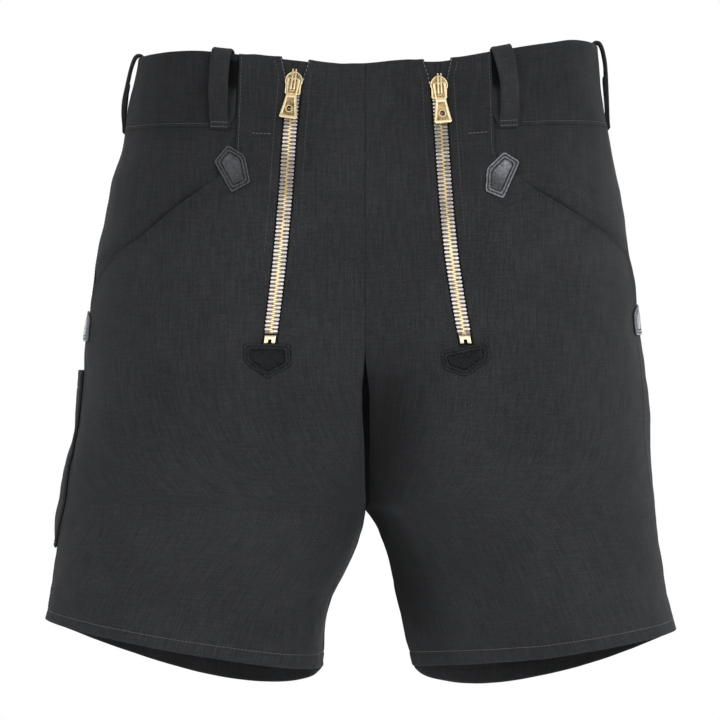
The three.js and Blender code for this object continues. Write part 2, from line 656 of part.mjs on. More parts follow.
function sliderGeometry() {
  const { plate, flange, crown } = SLIDER;
  const plan = new THREE.Shape();
  plan.moveTo(-plate.bottomHalf, plate.down);
  plan.lineTo(plate.bottomHalf, plate.down);
  plan.absarc(0, plate.up, plate.half, -0.35, Math.PI + 0.35, false);
  plan.closePath();
  let solid = solidOf(extruded(plan, plate.thick).translate(0, 0, plate.low));
  for (const way of [-1, 1]) {
    const top = plate.low + 0.4;
    const width = flange.outer - flange.inner;
    const lip = new THREE.BoxGeometry(width, flange.up - flange.down, top - flange.low);
    const across = (way * (flange.inner + flange.outer)) / 2;
    lip.translate(across, (flange.up + flange.down) / 2, (top + flange.low) / 2);
    solid = solid.add(solidOf(lip));
  }
  // The crown is an arch, drawn from the side and then turned to stand on the plate.
  const foot = plate.low + plate.thick - 0.3;
  const [low, high, inner] = [crown.down + crown.legs, crown.up - crown.legs, crown.inside];
  const arch = outlineShape([
    [crown.down, foot], [crown.down, inner], [crown.down + 1.6, crown.top], [crown.up - 2, crown.top],
    [crown.up, inner], [crown.up, foot + 0.6], [high, foot], [high - 0.4, inner], [low, inner], [low, foot],
  ]);
  const bridge = extruded(arch, 2 * crown.half).translate(0, 0, -crown.half);
  bridge.applyMatrix4(new THREE.Matrix4().makeBasis(
    new THREE.Vector3(0, 1, 0), new THREE.Vector3(0, 0, 1), new THREE.Vector3(1, 0, 0),
  ));
  return geometryOf(solid.add(solidOf(bridge)));
}

function pullGeometry() {
  const { thick, bar, outline, slot, recess, hole } = PULL;
  const mirrored = (points) => [...points.map(([x, y]) => [-x, y]), ...points.slice().reverse()];
  const tab = outlineShape(mirrored([[outline[0][0] - 1, bar], ...outline]));
  tab.holes.push(new THREE.Path([
    [-slot.half, -bar], [-slot.half, slot.end], [slot.half, slot.end], [slot.half, -bar],
  ].map(([x, y]) => new THREE.Vector2(x, y))));
  const round = new THREE.Path();
  round.absarc(0, hole.y, hole.r, 0, 2 * Math.PI, true);
  tab.holes.push(round);
  const blank = solidOf(extruded(tab, thick).translate(0, 0, -thick / 2));
  const sunk = extruded(outlineShape(mirrored([recess.top, recess.bottom])), thick);
  return geometryOf(blank.subtract(solidOf(sunk.translate(0, 0, thick / 2 - recess.depth))));
}

const shorts = new THREE.Group();
function addMesh(name, geometry, look, parent = shorts) {
  const mesh = new THREE.Mesh(geometry, new THREE.MeshStandardMaterial(look));
  mesh.name = name;
  parent.add(mesh);
  return mesh;
}

// A group that stands on the zip, with its axes across it, up along it and out.
function zipGroup(side, at) {
  const here = clothPoint(side, zipS(side, at, 0), at);
  const above = clothPoint(side, zipS(side, at - 8, 0), at - 8);
  const below = clothPoint(side, zipS(side, at + 8, 0), at + 8);
  const up = above.sub(below).normalize();
  const facing = normalAt(side, zipS(side, at, 0), at);
  const across = new THREE.Vector3().crossVectors(up, facing).normalize();
  const out = new THREE.Vector3().crossVectors(across, up);
  const group = new THREE.Group();
  group.position.copy(here);
  group.quaternion.setFromRotationMatrix(new THREE.Matrix4().makeBasis(across, up, out));
  shorts.add(group);
  return group;
}

for (const side of ['left', 'right']) {
  addMesh(`front_${side}`, frontPanel(side), CLOTH);
  addMesh(`back_${side}`, backPanel(side), CLOTH);
  addMesh(`waistband_${side}`, waistband(side), CLOTH);
  addMesh(`hip_yoke_${side}`, hipYoke(side), CLOTH);
  addMesh(`zip_tape_${side}`, zipTape(side), TAPE_CLOTH);
  addMesh(`zip_guard_${side}`, zipGuard(side), CLOTH);
  addMesh(`zip_chain_${side}`, zipChain(side), BRASS);
  addMesh(`zip_stop_${side}`, zipStop(side), BRASS);
  for (const [name, sides] of Object.entries(PATCHES)) {
    addMesh(`${name}_${side}`, patch(side, sides[side], DOME[name]), HIDE);
  }
  const group = zipGroup(side, SLIDER.at[side]);
  addMesh(`slider_${side}`, sliderGeometry(), BRASS, group);
  const pull = addMesh(`pull_tab_${side}`, pullGeometry(), BRASS, group);
  pull.position.set(0, PULL.pivotUp, PULL.pivotOut);
  const sideLoop = beltLoop(side, (at) => outlineAt(side, Math.max(0, at)).seamS, LOOP_BOW.side);
  addMesh(`belt_loop_side_${side}`, sideLoop, CLOTH);
  const frontX = column(FRONT_LOOPS[side], 'x');
  const middle = (at) => sAtX(side, Math.max(0, at), frontX(Math.max(0, at)));
  addMesh(`belt_loop_front_${side}`, beltLoop(side, middle, LOOP_BOW.front, sunk(side)), CLOTH);
}
const middleBack = (at) => outlineAt('left', Math.max(0, at)).length;
addMesh('belt_loop_back', beltLoop('left', middleBack, LOOP_BOW.back), CLOTH);
addMesh('rule_pocket', rulePocket(), CLOTH);

export default shorts;
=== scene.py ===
"""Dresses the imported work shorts: cloth, zips, leather and stitching around the CAD frame.

Sizes in the tables are in millimetres, as on a pattern; meshes are built in metres.
"""
import math

import bmesh
import bpy
import numpy as np
from mathutils import Matrix, Vector


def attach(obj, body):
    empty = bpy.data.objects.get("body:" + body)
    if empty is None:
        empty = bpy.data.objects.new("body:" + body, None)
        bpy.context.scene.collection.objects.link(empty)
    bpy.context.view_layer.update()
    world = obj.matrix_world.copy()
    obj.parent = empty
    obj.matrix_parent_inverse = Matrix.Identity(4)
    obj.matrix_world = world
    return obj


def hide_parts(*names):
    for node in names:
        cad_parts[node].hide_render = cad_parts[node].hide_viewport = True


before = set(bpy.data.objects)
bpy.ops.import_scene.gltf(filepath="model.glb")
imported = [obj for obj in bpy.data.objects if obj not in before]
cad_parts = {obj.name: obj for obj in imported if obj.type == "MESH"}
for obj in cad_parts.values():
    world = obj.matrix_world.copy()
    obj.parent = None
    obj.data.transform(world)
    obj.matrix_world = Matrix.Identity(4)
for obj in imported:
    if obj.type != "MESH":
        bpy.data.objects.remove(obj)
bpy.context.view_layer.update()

MM = 0.001
BODY = "shorts"
WALL = 1.6  # cloth
LEATHER = 1.5
LIE = 0.5  # between a panel and what lies on it or under it
TAPE = 1.0
SIGN = {"right": -1, "left": 1}
SIDES = ("right", "left")


def table(columns, rows):
    """Rows as dictionaries by their columns' names."""
    return [dict(zip(columns, row)) for row in rows]


# The section from above at each level, the same as in the part's own source.
LEVELS = table(
    ("name", "at", "frontZ", "backZ", "dip", "frontY", "backY", "sideY", "crest", "backCrest",
     "inRound", "outRound"),
    (
        ("waist", 0, -15.6, -5, 0, -86, 87, 2, 60, 78, 2.6, 2.0),
        ("band", 62, -67, -63, 0, -96, 103, 2, 64, 84, 2.6, 2.0),
        ("hip", 155, -156, -156, 0, -110, 126, 2, 76, 92, 2.6, 2.05),
        ("fork", 230, -230, -230, 1, -113, 129, 1, 84, 98, 2.7, 2.1),
        ("thigh", 300, -300, -300, 4, -109, 121, 0, 92, 102, 2.7, 2.1),
        ("crotch", 362, -362, -362, 11, -102, 110, 0, 104, 108, 2.5, 2.05),
        ("leg", 415, -417, -417, 18, -92, 97, 2, 124, 124, 2.2, 1.95),
        ("hem", 488, -488, -488, 29.5, -78, 82, 4, 144, 144, 2.0, 1.85),
    ),
)
AT = {row["name"]: row["at"] for row in LEVELS}
SIDE_Z = {
    "right": (-2, -61, -155, -228, -296, -353, -401, -451),
    "left": (8, -58, -154, -228, -297, -355, -405, -459),
}
SIDE_SEAM = {  # how far each side seam lies in front of the widest point at the levels
    "right": (0, 1, 10, 24, 19, 29, 13, 6),
    "left": (0, 1, 10, 30, 37, 25, 12, 6),
}
SIDE_EDGE = {  # (height, distance from the middle)
    "right": (
        (-3, 181), (-16, 183.5), (-56, 191.5), (-76, 194.5), (-99, 202), (-134, 208.5), (-155, 213),
        (-175, 216), (-195, 219), (-231, 223.5), (-256, 225), (-276, 226), (-296, 228.5), (-335, 237),
        (-371, 243.5), (-400, 247.5), (-415, 250), (-436, 253), (-452, 255),
    ),
    "left": (
        (8, 185.5), (-16, 187.8), (-56, 193.5), (-75, 197), (-99, 202), (-115, 205), (-135, 207.8),
        (-155, 210.5), (-175, 214.5), (-196, 216.5), (-231, 221), (-253, 224), (-276, 226.5), (-316, 228.5),
        (-356, 231.5), (-392, 235.5), (-416, 239), (-436, 243), (-459, 249),
    ),
}
INNER_EDGE = {
    "right": ((-362, 0), (-376, 2), (-391, 7), (-415, 17.5), (-435, 28), (-451, 31.5), (-488, 34.5)),
    "left": ((-362, 0), (-370, 6), (-380, 11.5), (-403, 18.8), (-425, 23.5), (-451, 29.6), (-488, 38.5)),
}
DIP = {"right": 0.7, "left": 0.85, "front": 0.08}
RISE = {"right": 0.75, "left": 1.0, "until": 150}
LIFT = {  # (distance from the middle, how far the front of the waist stands up)
    "right": ((0, 3.3), (10, 2.7), (20, 1.8), (75, 2), (85, 2.2), (94, 1.5), (112, 2), (134, 2.4),
              (150, 1.9), (166, 0.8), (178, 0)),
    "left": ((0, 3.3), (10, 4), (22, 4.6), (31, 4.4), (41, 3), (49, 1.8), (60, 0.4), (76, 0), (125, 0),
             (145, 0.5), (164, 2), (176, 1.4), (186, 0)),
    "until": 80,
}
CROTCH_Y = 6
SQUARE = {"right": 1.25, "left": 0.92}
SLOPED = {"less": 0.85, "from": 240, "full": 340}  # how the left leg slopes to the crease
CROTCH_CURVE = {"front": (AT["fork"] - 6, 1.7), "back": (AT["hip"] + 25, 2.0)}  # starts, power

# Folds: where each starts and ends, as a share of the way round the half and a distance down.
FOLD_COLUMNS = ("side", "share", "at", "endShare", "endAt", "width", "height")
FOLDS = table(FOLD_COLUMNS, (
    ("left", 0.16, 318, 0.26, 372, 15, -2.4),
    ("left", 0.17, 262, 0.31, 300, 17, 2.0),
    ("left", 0.2, 415, 0.34, 474, 18, 1.8),
    ("right", 0.42, 385, 0.24, 432, 17, -2.2),
    ("right", 0.21, 330, 0.33, 366, 16, 1.8),
    ("right", 0.13, 22, 0.16, 66, 10, -1.4),
    ("left", 0.14, 26, 0.17, 70, 11, -1.2),
    ("left", 0.85, 318, 0.64, 352, 16, -3.2),
    ("left", 0.84, 352, 0.67, 398, 15, 2.4),
    ("right", 0.86, 312, 0.66, 340, 17, -3.0),
    ("right", 0.83, 348, 0.7, 404, 15, 2.6),
    ("left", 0.72, 90, 0.63, 150, 16, 1.8),
    ("right", 0.73, 96, 0.62, 142, 15, 1.8),
))
HALF_ROUND = 520  # about half the way round, to measure the folds by

# Finer creases, for the looks alone.
CREASES = table(FOLD_COLUMNS, (
    ("left", 0.03, 300, 0.12, 352, 5, -0.9),
    ("left", 0.04, 330, 0.15, 396, 6, 0.9),
    ("left", 0.12, 400, 0.22, 452, 7, 0.8),
    ("left", 0.3, 120, 0.36, 150, 6, 0.7),
    ("left", 0.44, 190, 0.36, 226, 8, 0.8),
    ("right", 0.05, 300, 0.1, 350, 5, -0.7),
    ("right", 0.44, 196, 0.36, 236, 8, 0.8),
    ("right", 0.45, 300, 0.36, 330, 7, -0.8),
    ("right", 0.4, 430, 0.3, 468, 8, 0.7),
    ("right", 0.18, 26, 0.21, 70, 6, 0.5),
    ("left", 0.19, 28, 0.21, 64, 6, 0.5),
    ("left", 0.92, 300, 0.78, 322, 6, 0.9),
    ("right", 0.93, 296, 0.78, 330, 6, 0.9),
    ("left", 0.6, 70, 0.58, 120, 8, -0.8),
    ("right", 0.6, 72, 0.58, 118, 8, -0.8),
))
RIPPLE = {"seed": 11, "waves": 26, "height": 0.10, "shortest": 16, "longest": 75, "flatter": 45}
RIPPLE_SHIFT = {"right": 0, "left": 37}  # so that the sides differ

ZIP_LINE = {
    "right": ((0, 54.2), (30, 55.8), (65, 58.5), (112, 61.4), (158, 65.3), (193, 69), (228, 73.3)),
    "left": ((0, 56), (30, 57.2), (65, 59), (112, 61.9), (158, 66.1), (193, 71), (228, 77)),
}
ZIP_ENDS = 232.6
SLIT = ((0, 10.4), (8, 8.4), (18, 6.3), (30, 6.3), (46, 6.4), (230, 6))
CORNER_LIFT = {"height": 2.4, "reach": 11}
LIP = {"width": 3.0, "drop": 1.6, "until": 22}  # the flaps' edges curl in above the slider
CLEFT = {"depth": 10, "width": 5, "from": 228, "full": 330}  # the front seam sinks in between the legs
ZIP = {"tape_half": 13, "guard_half": 19, "stop_length": 7}
POCKET_EDGE = {
    "right": ((0, 98.5), (80, 100.5), (95, 106), (101.5, 115), (122, 146), (142.5, 175.5), (156, 201),
              (169, 230), (187, 252)),
    "left": ((0, 98.5), (80, 100.5), (93, 107), (101, 119), (110.5, 131.5), (118.5, 146), (130, 170),
             (142.5, 196), (154, 228), (163, 248)),
}
POCKET_ENDS = 209
UNDERLAP = 12
SINK = {"depth": WALL + 0.8, "flat": 3, "fade": 34}
HEM = {"stitch": 12, "thick": 1.0, "full": 0.35, "roping": 0.22}
RULE_POCKET = {
    "side": "right", "from": 254, "to": 405, "seamGap": 3, "width": 58, "bulge": 2.6, "line": 254 + 14,
}
LOOP = {"width": 15.5, "tacked": 57}
LOOP_BOW = {"side": 0.9, "front": 1.6, "back": 1.6}
LOOP_LINE = (  # at, out, thickness: from inside the waist, over its edge, down to the foot and up inside
    (9, -3.7, 2), (2, -3.7, 2), (-0.8, -3.4, 2), (-2.4, -1.7, 2), (-2.5, 0.8, 2), (-0.8, 3.3, 2),
    (6, 5.2, 2), (16, 5.9, 2), (27, 5.8, 2), (38, 5.1, 2), (47, 3.9, 2), (53, 2.9, 1.7),
    (58, 2.0, 1.2), (62.2, 1.7, 1.0), (63.2, 1.15, 1.0), (62.2, 0.6, 1.0), (56, 0.8, 1.0),
)
LOOP_PLY = {  # the same for the end that is turned up inside
    "side": ((47, 2.2, 1.3), (38, 3.4, 1.4), (22, 4.4, 1.4)),
    "front": ((47, 0.9, 1.0), (30, 1.1, 1.0), (5, 0.9, 1.0)),
    "back": ((47, 2.2, 1.3), (38, 3.4, 1.4), (29, 4.4, 1.4)),
}
LOOP_PLY_SHIFT = {"side": 0, "front": 4.5, "back": 0}  # how far towards the middle it lies
LOOP_TILT = {"side": 0, "front": 0.2, "back": 0}  # how much further off the edge towards the middle stands
INNER_PLY_SHADE = 0.93  # how dark a front loop is painted, as shade, where its turned-up end shows behind it
LOOP_X = {  # (distance down, distance from the middle) of each front loop's middle line
    "right": ((0, 110.5), (33, 112), (66, 113.5)),
    "left": ((0, 105.5), (33, 110), (66, 111.5)),
}
SIDE_PATCH = ((13.5, 5), (0, 13), (-13.5, 5), (-12, -12.5), (12, -12.5))
PATCHES = {
    "pocket_patch": {
        "right": (102.8, 95.5, ((3.1, 19.4), (-10.1, 10.9), (-14.7, -10.1), (0, -18.2), (14.3, 6.2))),
        "left": (106.5, 100.5, ((0.8, 18.6), (-13.2, 5.4), (-14.3, -12.4), (0, -18.6), (14, 10.5))),
    },
    "zip_end_tab": {
        "right": (75.1, 243, ((17.7, 11.5), (-18.1, 11.5), (-17.5, -5.2), (1.7, -14.8), (18.3, -2.6))),
        "left": (76.9, 242.5, ((17.5, 12.3), (-19, 5), (-15.7, -8.2), (1.5, -14), (19.2, -1))),
    },
    "side_patch": {"right": (None, 218, SIDE_PATCH), "left": (None, 213, SIDE_PATCH)},
}
SLIDER_AT = {"right": 22.2, "left": 25.2}
STITCH = {"pitch": 2.9, "length": 2.35, "radius": 0.27}
# How far each line of stitches lies from its edge.
STITCHED = {"band": 3, "flap": 6.0, "mouth": 6.5, "front_edge": 2.0, "seam": 2.2, "centre": 2.2, "back": 2.4}
HEM_LINE = AT["hem"] - HEM["stitch"]
BAND_LINE = AT["band"] - STITCHED["band"]
TACK = {"at": 66, "right": (73, 88), "left": (80, 95)}  # the short row beside each zip
LOOP_FOOT = (57.8, 61.6)
YOKE_ENDS = POCKET_ENDS - 4
UNDER_FRONT = -WALL - LIE
FRONT_SEWN = 84  # down to here the fronts are sewn to what lies under the pocket's edge
# The pocket's pressed edge, and how far the yoke sinks behind it and how dark its painted shadow is there.
MOUTH = {"from": 104, "fade": 12, "proud": 0.9, "reach": 5.0, "deeper": 1.8, "shade": 0.75, "soft": 5.0}
SEAM_OVERLAP = 0.3  # how far the panels' edges pass the side seam
SEWN = 3.0  # a sewn edge is pressed this many times flatter than a free one

# Grids: places along a quarter of an outline, rows down and shares of the way round.
SAMPLES = 60
ROW_STEP = 1.0
TOP_ROW, LAST_ROW = -8.0, AT["hem"] + 2.0
ROWS_AT = np.arange(TOP_ROW, LAST_ROW + ROW_STEP / 2, ROW_STEP)
SHARES = np.linspace(0, 1, 561)
ROW_GRID = 3.0
LOOP_ROWS = 70
END_STEPS = np.array([0, 0.12, 0.4, 0.9, 1.7, 3.0, 4.6])  # how the places close up towards an edge
LINE_STEPS = (-2.2, -1.2, -0.5, 0, 0.5, 1.2, 2.2)  # and beside a line of stitches

# Painted shade: where the cloth is painted darker, as if in shadow: the middle by the way round and down,
# the reach both ways and how much.
SHADES = table(("side", "s", "at", "s_reach", "at_reach", "amount"), (
    ("left", 10, 356, 42, 112, 0.78),
    ("right", 0, 350, 14, 36, 0.8),
    ("right", 0, 402, 50, 44, 0.85),
    ("right", 165, 34, 62, 52, 0.36),
    ("left", 175, 34, 62, 48, 0.28),
    ("right", 170, 112, 52, 44, 0.2),
    ("right", 70, 60, 40, 60, 0.14),
    ("left", 60, 50, 50, 60, 0.14),
))

# A patch's top, from its cut edge inwards: the distance in, the height over the leather, how much painted
# highlight it takes.
PATCH_PROFILE = (
    (0.0, -0.7, 0.1), (0.15, -0.25, 0.6), (0.5, 0.1, 1.0), (1.0, 0.15, 1.0), (1.5, -0.15, 0.4),
    (1.9, -0.6, 0.0), (2.3, -0.15, 0.4), (2.8, 0.2, 0.8), (3.3, 0.2, 0.8), (3.8, -0.15, 0.3),
    (4.2, -0.6, 0.0), (4.6, -0.15, 0.2), (5.2, 0.2, 0.4), (6.2, 0.3, 0.55),
)
PATCH_ROWS = (1.9, 4.2)
PATCH_SLOPE_FROM = 5.0  # further in than this a highlight is painted lighter towards one corner
DOME = {"zip_end_tab": 1.6, "pocket_patch": 0.6, "side_patch": 0.6}
PAINTED_SHEEN = {  # painted highlight: how light it is painted, how much lighter towards the corner, and its middle's share
    "pocket_patch_right": (0.22, 0.6, 1.0),
    "pocket_patch_left": (0.95, 1.1, 1.0),
    "side_patch_right": (0.26, 0.0, 1.0),
    "side_patch_left": (0.7, 0.0, 1.0),
    "zip_end_tab_right": (1.0, 0.0, 0.1),
    "zip_end_tab_left": (1.0, 0.0, 0.1),
}

CHAIN = {"pitch": 3.08, "half": 5.3, "above": 4.0, "low": UNDER_FRONT + 0.1, "high": 0.95}
GROUND = np.array([(-4.6, -0.5), (-1.3, 0.1), (1.3, 0.1), (4.6, -0.5)])  # across, out: under the teeth
STOP_HALF = 4.6
SLIDER = {
    "shoulder": 6.9, "middle_up": 1.6, "tail_half": 5.7, "tail": -9.6, "low": 1.7, "thick": 1.3, "rim": 1.2,
    "crown_half": 1.85, "crown_bar": 1.25, "crown_top": 7.8, "crown_up": 10.4, "crown_down": -7.8,
}
SLIDER_LEAN = {"right": -3, "left": -1}  # in degrees, anticlockwise seen from the front
PULL_LEAN = {"right": -5, "left": 3}
PULL = {
    "pivot_up": 2, "pivot_out": 4.75, "thick": 1.8, "slot_half": 3.1, "slot_top": -1.6, "slot_end": -8.8,
    "bead_at": -23.4,
}
PULL_EDGE = (  # its right half, seen from the front, from the top down
    (4.0, 1.0), (4.9, 0.7), (5.25, 0), (5.1, -2.5), (4.6, -6), (4.2, -10), (4.25, -13), (4.8, -17),
    (5.6, -22), (6.4, -26.5), (6.9, -29.3), (6.8, -30.2), (6.2, -30.9), (5.3, -31.1),
)
PULL_WINDOW = ((2.6, -14.6), (3.1, -18), (3.9, -23), (4.7, -27.6), (4.3, -28.6))

FLOOR = {"z": -0.62, "radius": 0.85}
LIGHTS = table(("name", "place", "aim", "size", "power"), (
    ("key", (1.3, -2.9, 0.8), (0, 0, -0.3), 1.5, 66),
    ("fill", (-1.7, -2.8, 0.3), (0, 0, -0.3), 1.6, 46),
    ("top", (0.1, -0.2, 2.4), (0, 0.1, -0.2), 1.5, 10),
    ("left_rim", (2.3, 0.2, -0.2), (0.1, 0, -0.4), 1.0, 22),
))
WORLD_TURN = (0.45, 0.85, 0.12)  # from the darkest way to the lightest
WORLD_LIGHT = ((0.0, 0.34), (0.32, 0.44), (0.6, 0.52), (1.0, 0.95))
# What metal and leather reflect, from below to above, and how bright.
REFLECTED = ((0.0, 0.1), (0.3, 0.14), (0.42, 0.9), (0.5, 2.1), (0.6, 1.8), (0.72, 0.35), (1.0, 0.9))

# The camera stands where the photograph's stood: level with the middle of the frame, far off.
PHOTO = {"middle": (-4, -243.2), "distance": 3000, "width": 576, "sensor": 36}


def smooth(t):
    k = np.clip(t, 0, 1)
    return k * k * (3 - 2 * k)


def curve_of(xs, ys):
    """A smooth curve through points that never overshoots them and runs on straight past its ends."""
    xs, ys = np.array(xs, float), np.array(ys, float)
    slopes = np.diff(ys) / np.diff(xs)
    tangents = np.empty(len(xs))
    tangents[0], tangents[-1] = slopes[0], slopes[-1]
    for i in range(1, len(xs) - 1):
        before, after = slopes[i - 1], slopes[i]
        tangents[i] = 0 if before * after <= 0 else 2 * before * after / (before + after)

    def at(x):
        x = np.asarray(x, float)
        i = np.clip(np.searchsorted(xs, x, side="right") - 1, 0, len(xs) - 2)
        width = xs[i + 1] - xs[i]
        t = np.clip((x - xs[i]) / width, 0, 1)
        t2, t3 = t * t, t * t * t
        inside = (
            (2 * t3 - 3 * t2 + 1) * ys[i] + (t3 - 2 * t2 + t) * width * tangents[i]
            + (3 * t2 - 2 * t3) * ys[i + 1] + (t3 - t2) * width * tangents[i + 1]
        )
        return inside + tangents[0] * np.minimum(0, x - xs[0]) + tangents[-1] * np.maximum(0, x - xs[-1])

    return at


def falling(rows):
    """A curve through (height, x) rows whose heights run downwards."""
    curve = curve_of([-z for z, _ in rows], [x for _, x in rows])
    return lambda z: curve(-np.asarray(z))


def curve_through(rows):
    return curve_of([row[0] for row in rows], [row[1] for row in rows])


def by_level(values):
    return curve_of([row["at"] for row in LEVELS], values)


LEVEL_CURVES = {
    key: by_level([row[key] for row in LEVELS]) for key in LEVELS[0] if key not in ("name", "at")
}
zip_x = {side: curve_through(ZIP_LINE[side]) for side in SIDES}
slit_half = curve_through(SLIT)


def seam_reach(starts, power, at):
    t = min(1.0, max(0.0, (at - starts) / (AT["crotch"] - starts)))
    return (1 - t**power) ** (1 / power)


def outline(side, at):
    """One half at one level: x, y and the distance round, with the values that shaped it."""
    v = {key: float(curve(at)) for key, curve in LEVEL_CURVES.items()}
    outer_z = float(by_level(SIDE_Z[side])(at))
    outer_x = float(falling(SIDE_EDGE[side])(outer_z))
    inner_x = 0.0 if at < AT["crotch"] else max(0.0, float(falling(INNER_EDGE[side])(v["frontZ"])))
    front_y = CROTCH_Y + (v["frontY"] - CROTCH_Y) * seam_reach(*CROTCH_CURVE["front"], at)
    back_y = CROTCH_Y + (v["backY"] - CROTCH_Y) * seam_reach(*CROTCH_CURVE["back"], at)
    in_round = max(2, v["inRound"] * SQUARE[side])
    if side == "left":
        in_round -= SLOPED["less"] * smooth((at - SLOPED["from"]) / (SLOPED["full"] - SLOPED["from"]))
    angle = np.linspace(0, math.pi / 2, SAMPLES + 1)

    def corner(x, y, start, end, power, starts_sideways):
        near = np.clip(np.cos(angle), 0, 1) ** (2 / power)
        far = np.clip(np.sin(angle), 0, 1) ** (2 / power)
        if starts_sideways:
            return x + start * near, y + end * far
        return x + end * far, y + start * near

    crest, back_crest, side_y = v["crest"], v["backCrest"], v["sideY"]
    corners = (
        corner(crest, front_y, inner_x - crest, v["frontY"] - front_y, in_round, True),
        corner(crest, side_y, v["frontY"] - side_y, outer_x - crest, v["outRound"], False),
        corner(back_crest, side_y, outer_x - back_crest, v["backY"] - side_y, v["outRound"], True),
        corner(back_crest, back_y, v["backY"] - back_y, inner_x - back_crest, in_round, False),
    )
    xs = np.concatenate([c[0][(k > 0):] for k, c in enumerate(corners)])
    ys = np.concatenate([c[1][(k > 0):] for k, c in enumerate(corners)])
    s = np.concatenate([[0], np.cumsum(np.hypot(np.diff(xs), np.diff(ys)))])
    return {**v, "x": xs, "y": ys, "s": s, "outer_z": outer_z, "outer_x": outer_x, "inner_x": inner_x,
            "seam": s[2 * SAMPLES] - float(by_level(SIDE_SEAM[side])(at))}


def fold_height(side, share, at, folds):
    height = np.zeros(np.broadcast(share, at).shape)
    for f in folds:
        if f["side"] != side:
            continue
        along = np.array([(f["endShare"] - f["share"]) * HALF_ROUND, f["endAt"] - f["at"]])
        x, y = (share - f["share"]) * HALF_ROUND, at - f["at"]
        t = np.clip((x * along[0] + y * along[1]) / (along @ along), 0, 1)
        away = np.hypot(x - along[0] * t, y - along[1] * t) / f["width"]
        height += f["height"] * np.exp(-away * away) * (0.55 + 0.45 * np.sin(math.pi * t))
    return height


def ripple(s, at):
    """Small soft unevenness of well-used cloth, in millimetres."""
    rng = np.random.default_rng(RIPPLE["seed"])
    total = np.zeros(np.broadcast(s, at).shape)
    for _ in range(RIPPLE["waves"]):
        wave = rng.uniform(RIPPLE["shortest"], RIPPLE["longest"])
        way, phase = rng.uniform(0, 2 * math.pi, 2)
        along = s * math.cos(way) + at * math.sin(way)
        total += np.sin(along * 2 * math.pi / wave + phase) * wave / RIPPLE["flatter"]
    return total * RIPPLE["height"]


class Half:
    """The cloth surface of one side, held as a fine lattice of places and directions."""

    def __init__(self, side):
        self.side = side
        places, lengths, seams = [], [], []
        self.rows = [outline(side, at) for at in ROWS_AT]
        for at, o in zip(ROWS_AT, self.rows):
            s = SHARES * o["s"][-1]
            x, y = np.interp(s, o["s"], o["x"]), np.interp(s, o["s"], o["y"])
            front = s <= o["s"][2 * SAMPLES]
            across = np.clip((x - o["inner_x"]) / (o["outer_x"] - o["inner_x"]), 0, 1)
            dip = o["dip"] * np.sin(math.pi * across ** DIP[side]) ** 0.7 * np.where(front, DIP["front"], 1)
            inner_z = np.where(front, o["frontZ"], o["backZ"])
            ease = 1 - smooth(at / RISE["until"])
            rise = across + (smooth(across ** RISE[side]) - across) * ease
            lift = np.maximum(0, curve_through(LIFT[side])(x)) * (1 - smooth(at / LIFT["until"]))
            z = inner_z + (o["outer_z"] - inner_z) * rise - dip + np.where(front, lift, 0)
            places.append(np.stack([x * SIGN[side], y, z], 1))
            lengths.append(o["s"][-1])
            seams.append(o["seam"])
        self.places, self.lengths, self.seams = np.array(places), np.array(lengths), np.array(seams)
        self.normals = self.facing()
        share, at = SHARES[None, :], ROWS_AT[:, None]
        height = fold_height(side, share, at, FOLDS + CREASES)
        uneven = ripple(share * self.lengths[:, None], at + RIPPLE_SHIFT[side])
        height = height + uneven * smooth((at + 5) / 30)
        self.places = self.places + self.normals * height[..., None]
        self.normals = self.facing()

    def facing(self):
        down = np.gradient(self.places, axis=0)
        round_it = np.gradient(self.places, axis=1)
        cross = np.cross(down, round_it) * SIGN[self.side]
        return cross / np.linalg.norm(cross, axis=2, keepdims=True)

    def length(self, at):
        return np.interp(at, ROWS_AT, self.lengths)

    def seam(self, at):
        return np.interp(at, ROWS_AT, self.seams)

    def s_at_x(self, at, x):
        """The distance round to a place on the front that is x from the middle."""
        row = self.rows[int(round((min(max(at, TOP_ROW), LAST_ROW) - TOP_ROW) / ROW_STEP))]
        half = 2 * SAMPLES
        return float(np.interp(x, row["x"][:half], row["s"][:half]))

    def sample(self, lattice, s, at):
        s, at = np.broadcast_arrays(np.asarray(s, float), np.asarray(at, float))
        row = np.clip((at - TOP_ROW) / ROW_STEP, 0, len(ROWS_AT) - 1.001)
        column = np.clip(s / self.length(at), 0, 1) * (len(SHARES) - 1)
        column = np.minimum(column, len(SHARES) - 1.001)
        i, j = row.astype(int), column.astype(int)
        a, b = (row - i)[..., None], (column - j)[..., None]
        return (
            (lattice[i, j] * (1 - b) + lattice[i, j + 1] * b) * (1 - a)
            + (lattice[i + 1, j] * (1 - b) + lattice[i + 1, j + 1] * b) * a
        )

    def point(self, s, at, out=0.0):
        return self.sample(self.places, s, at) + self.normal(s, at) * np.asarray(out, float)[..., None]

    def normal(self, s, at):
        n = self.sample(self.normals, s, at)
        return n / np.linalg.norm(n, axis=-1, keepdims=True)


HALF = {side: Half(side) for side in SIDES}


def zip_s(side, at):
    """The distance round to the zip's middle at each level."""
    return np.vectorize(lambda a: HALF[side].s_at_x(a, float(zip_x[side](a))))(np.asarray(at, float))


def edge_curve(side):
    rows = POCKET_EDGE[side] + ((POCKET_ENDS, float(HALF[side].seam(POCKET_ENDS))),)
    curve = curve_through(rows)
    return lambda at: np.where(np.asarray(at) < POCKET_ENDS, curve(at), HALF[side].seam(at))


EDGE = {side: edge_curve(side) for side in SIDES}


def sunk(side, s, at):
    return -SINK["depth"] * (1 - smooth((s - EDGE[side](at) - SINK["flat"]) / SINK["fade"]))


# Materials

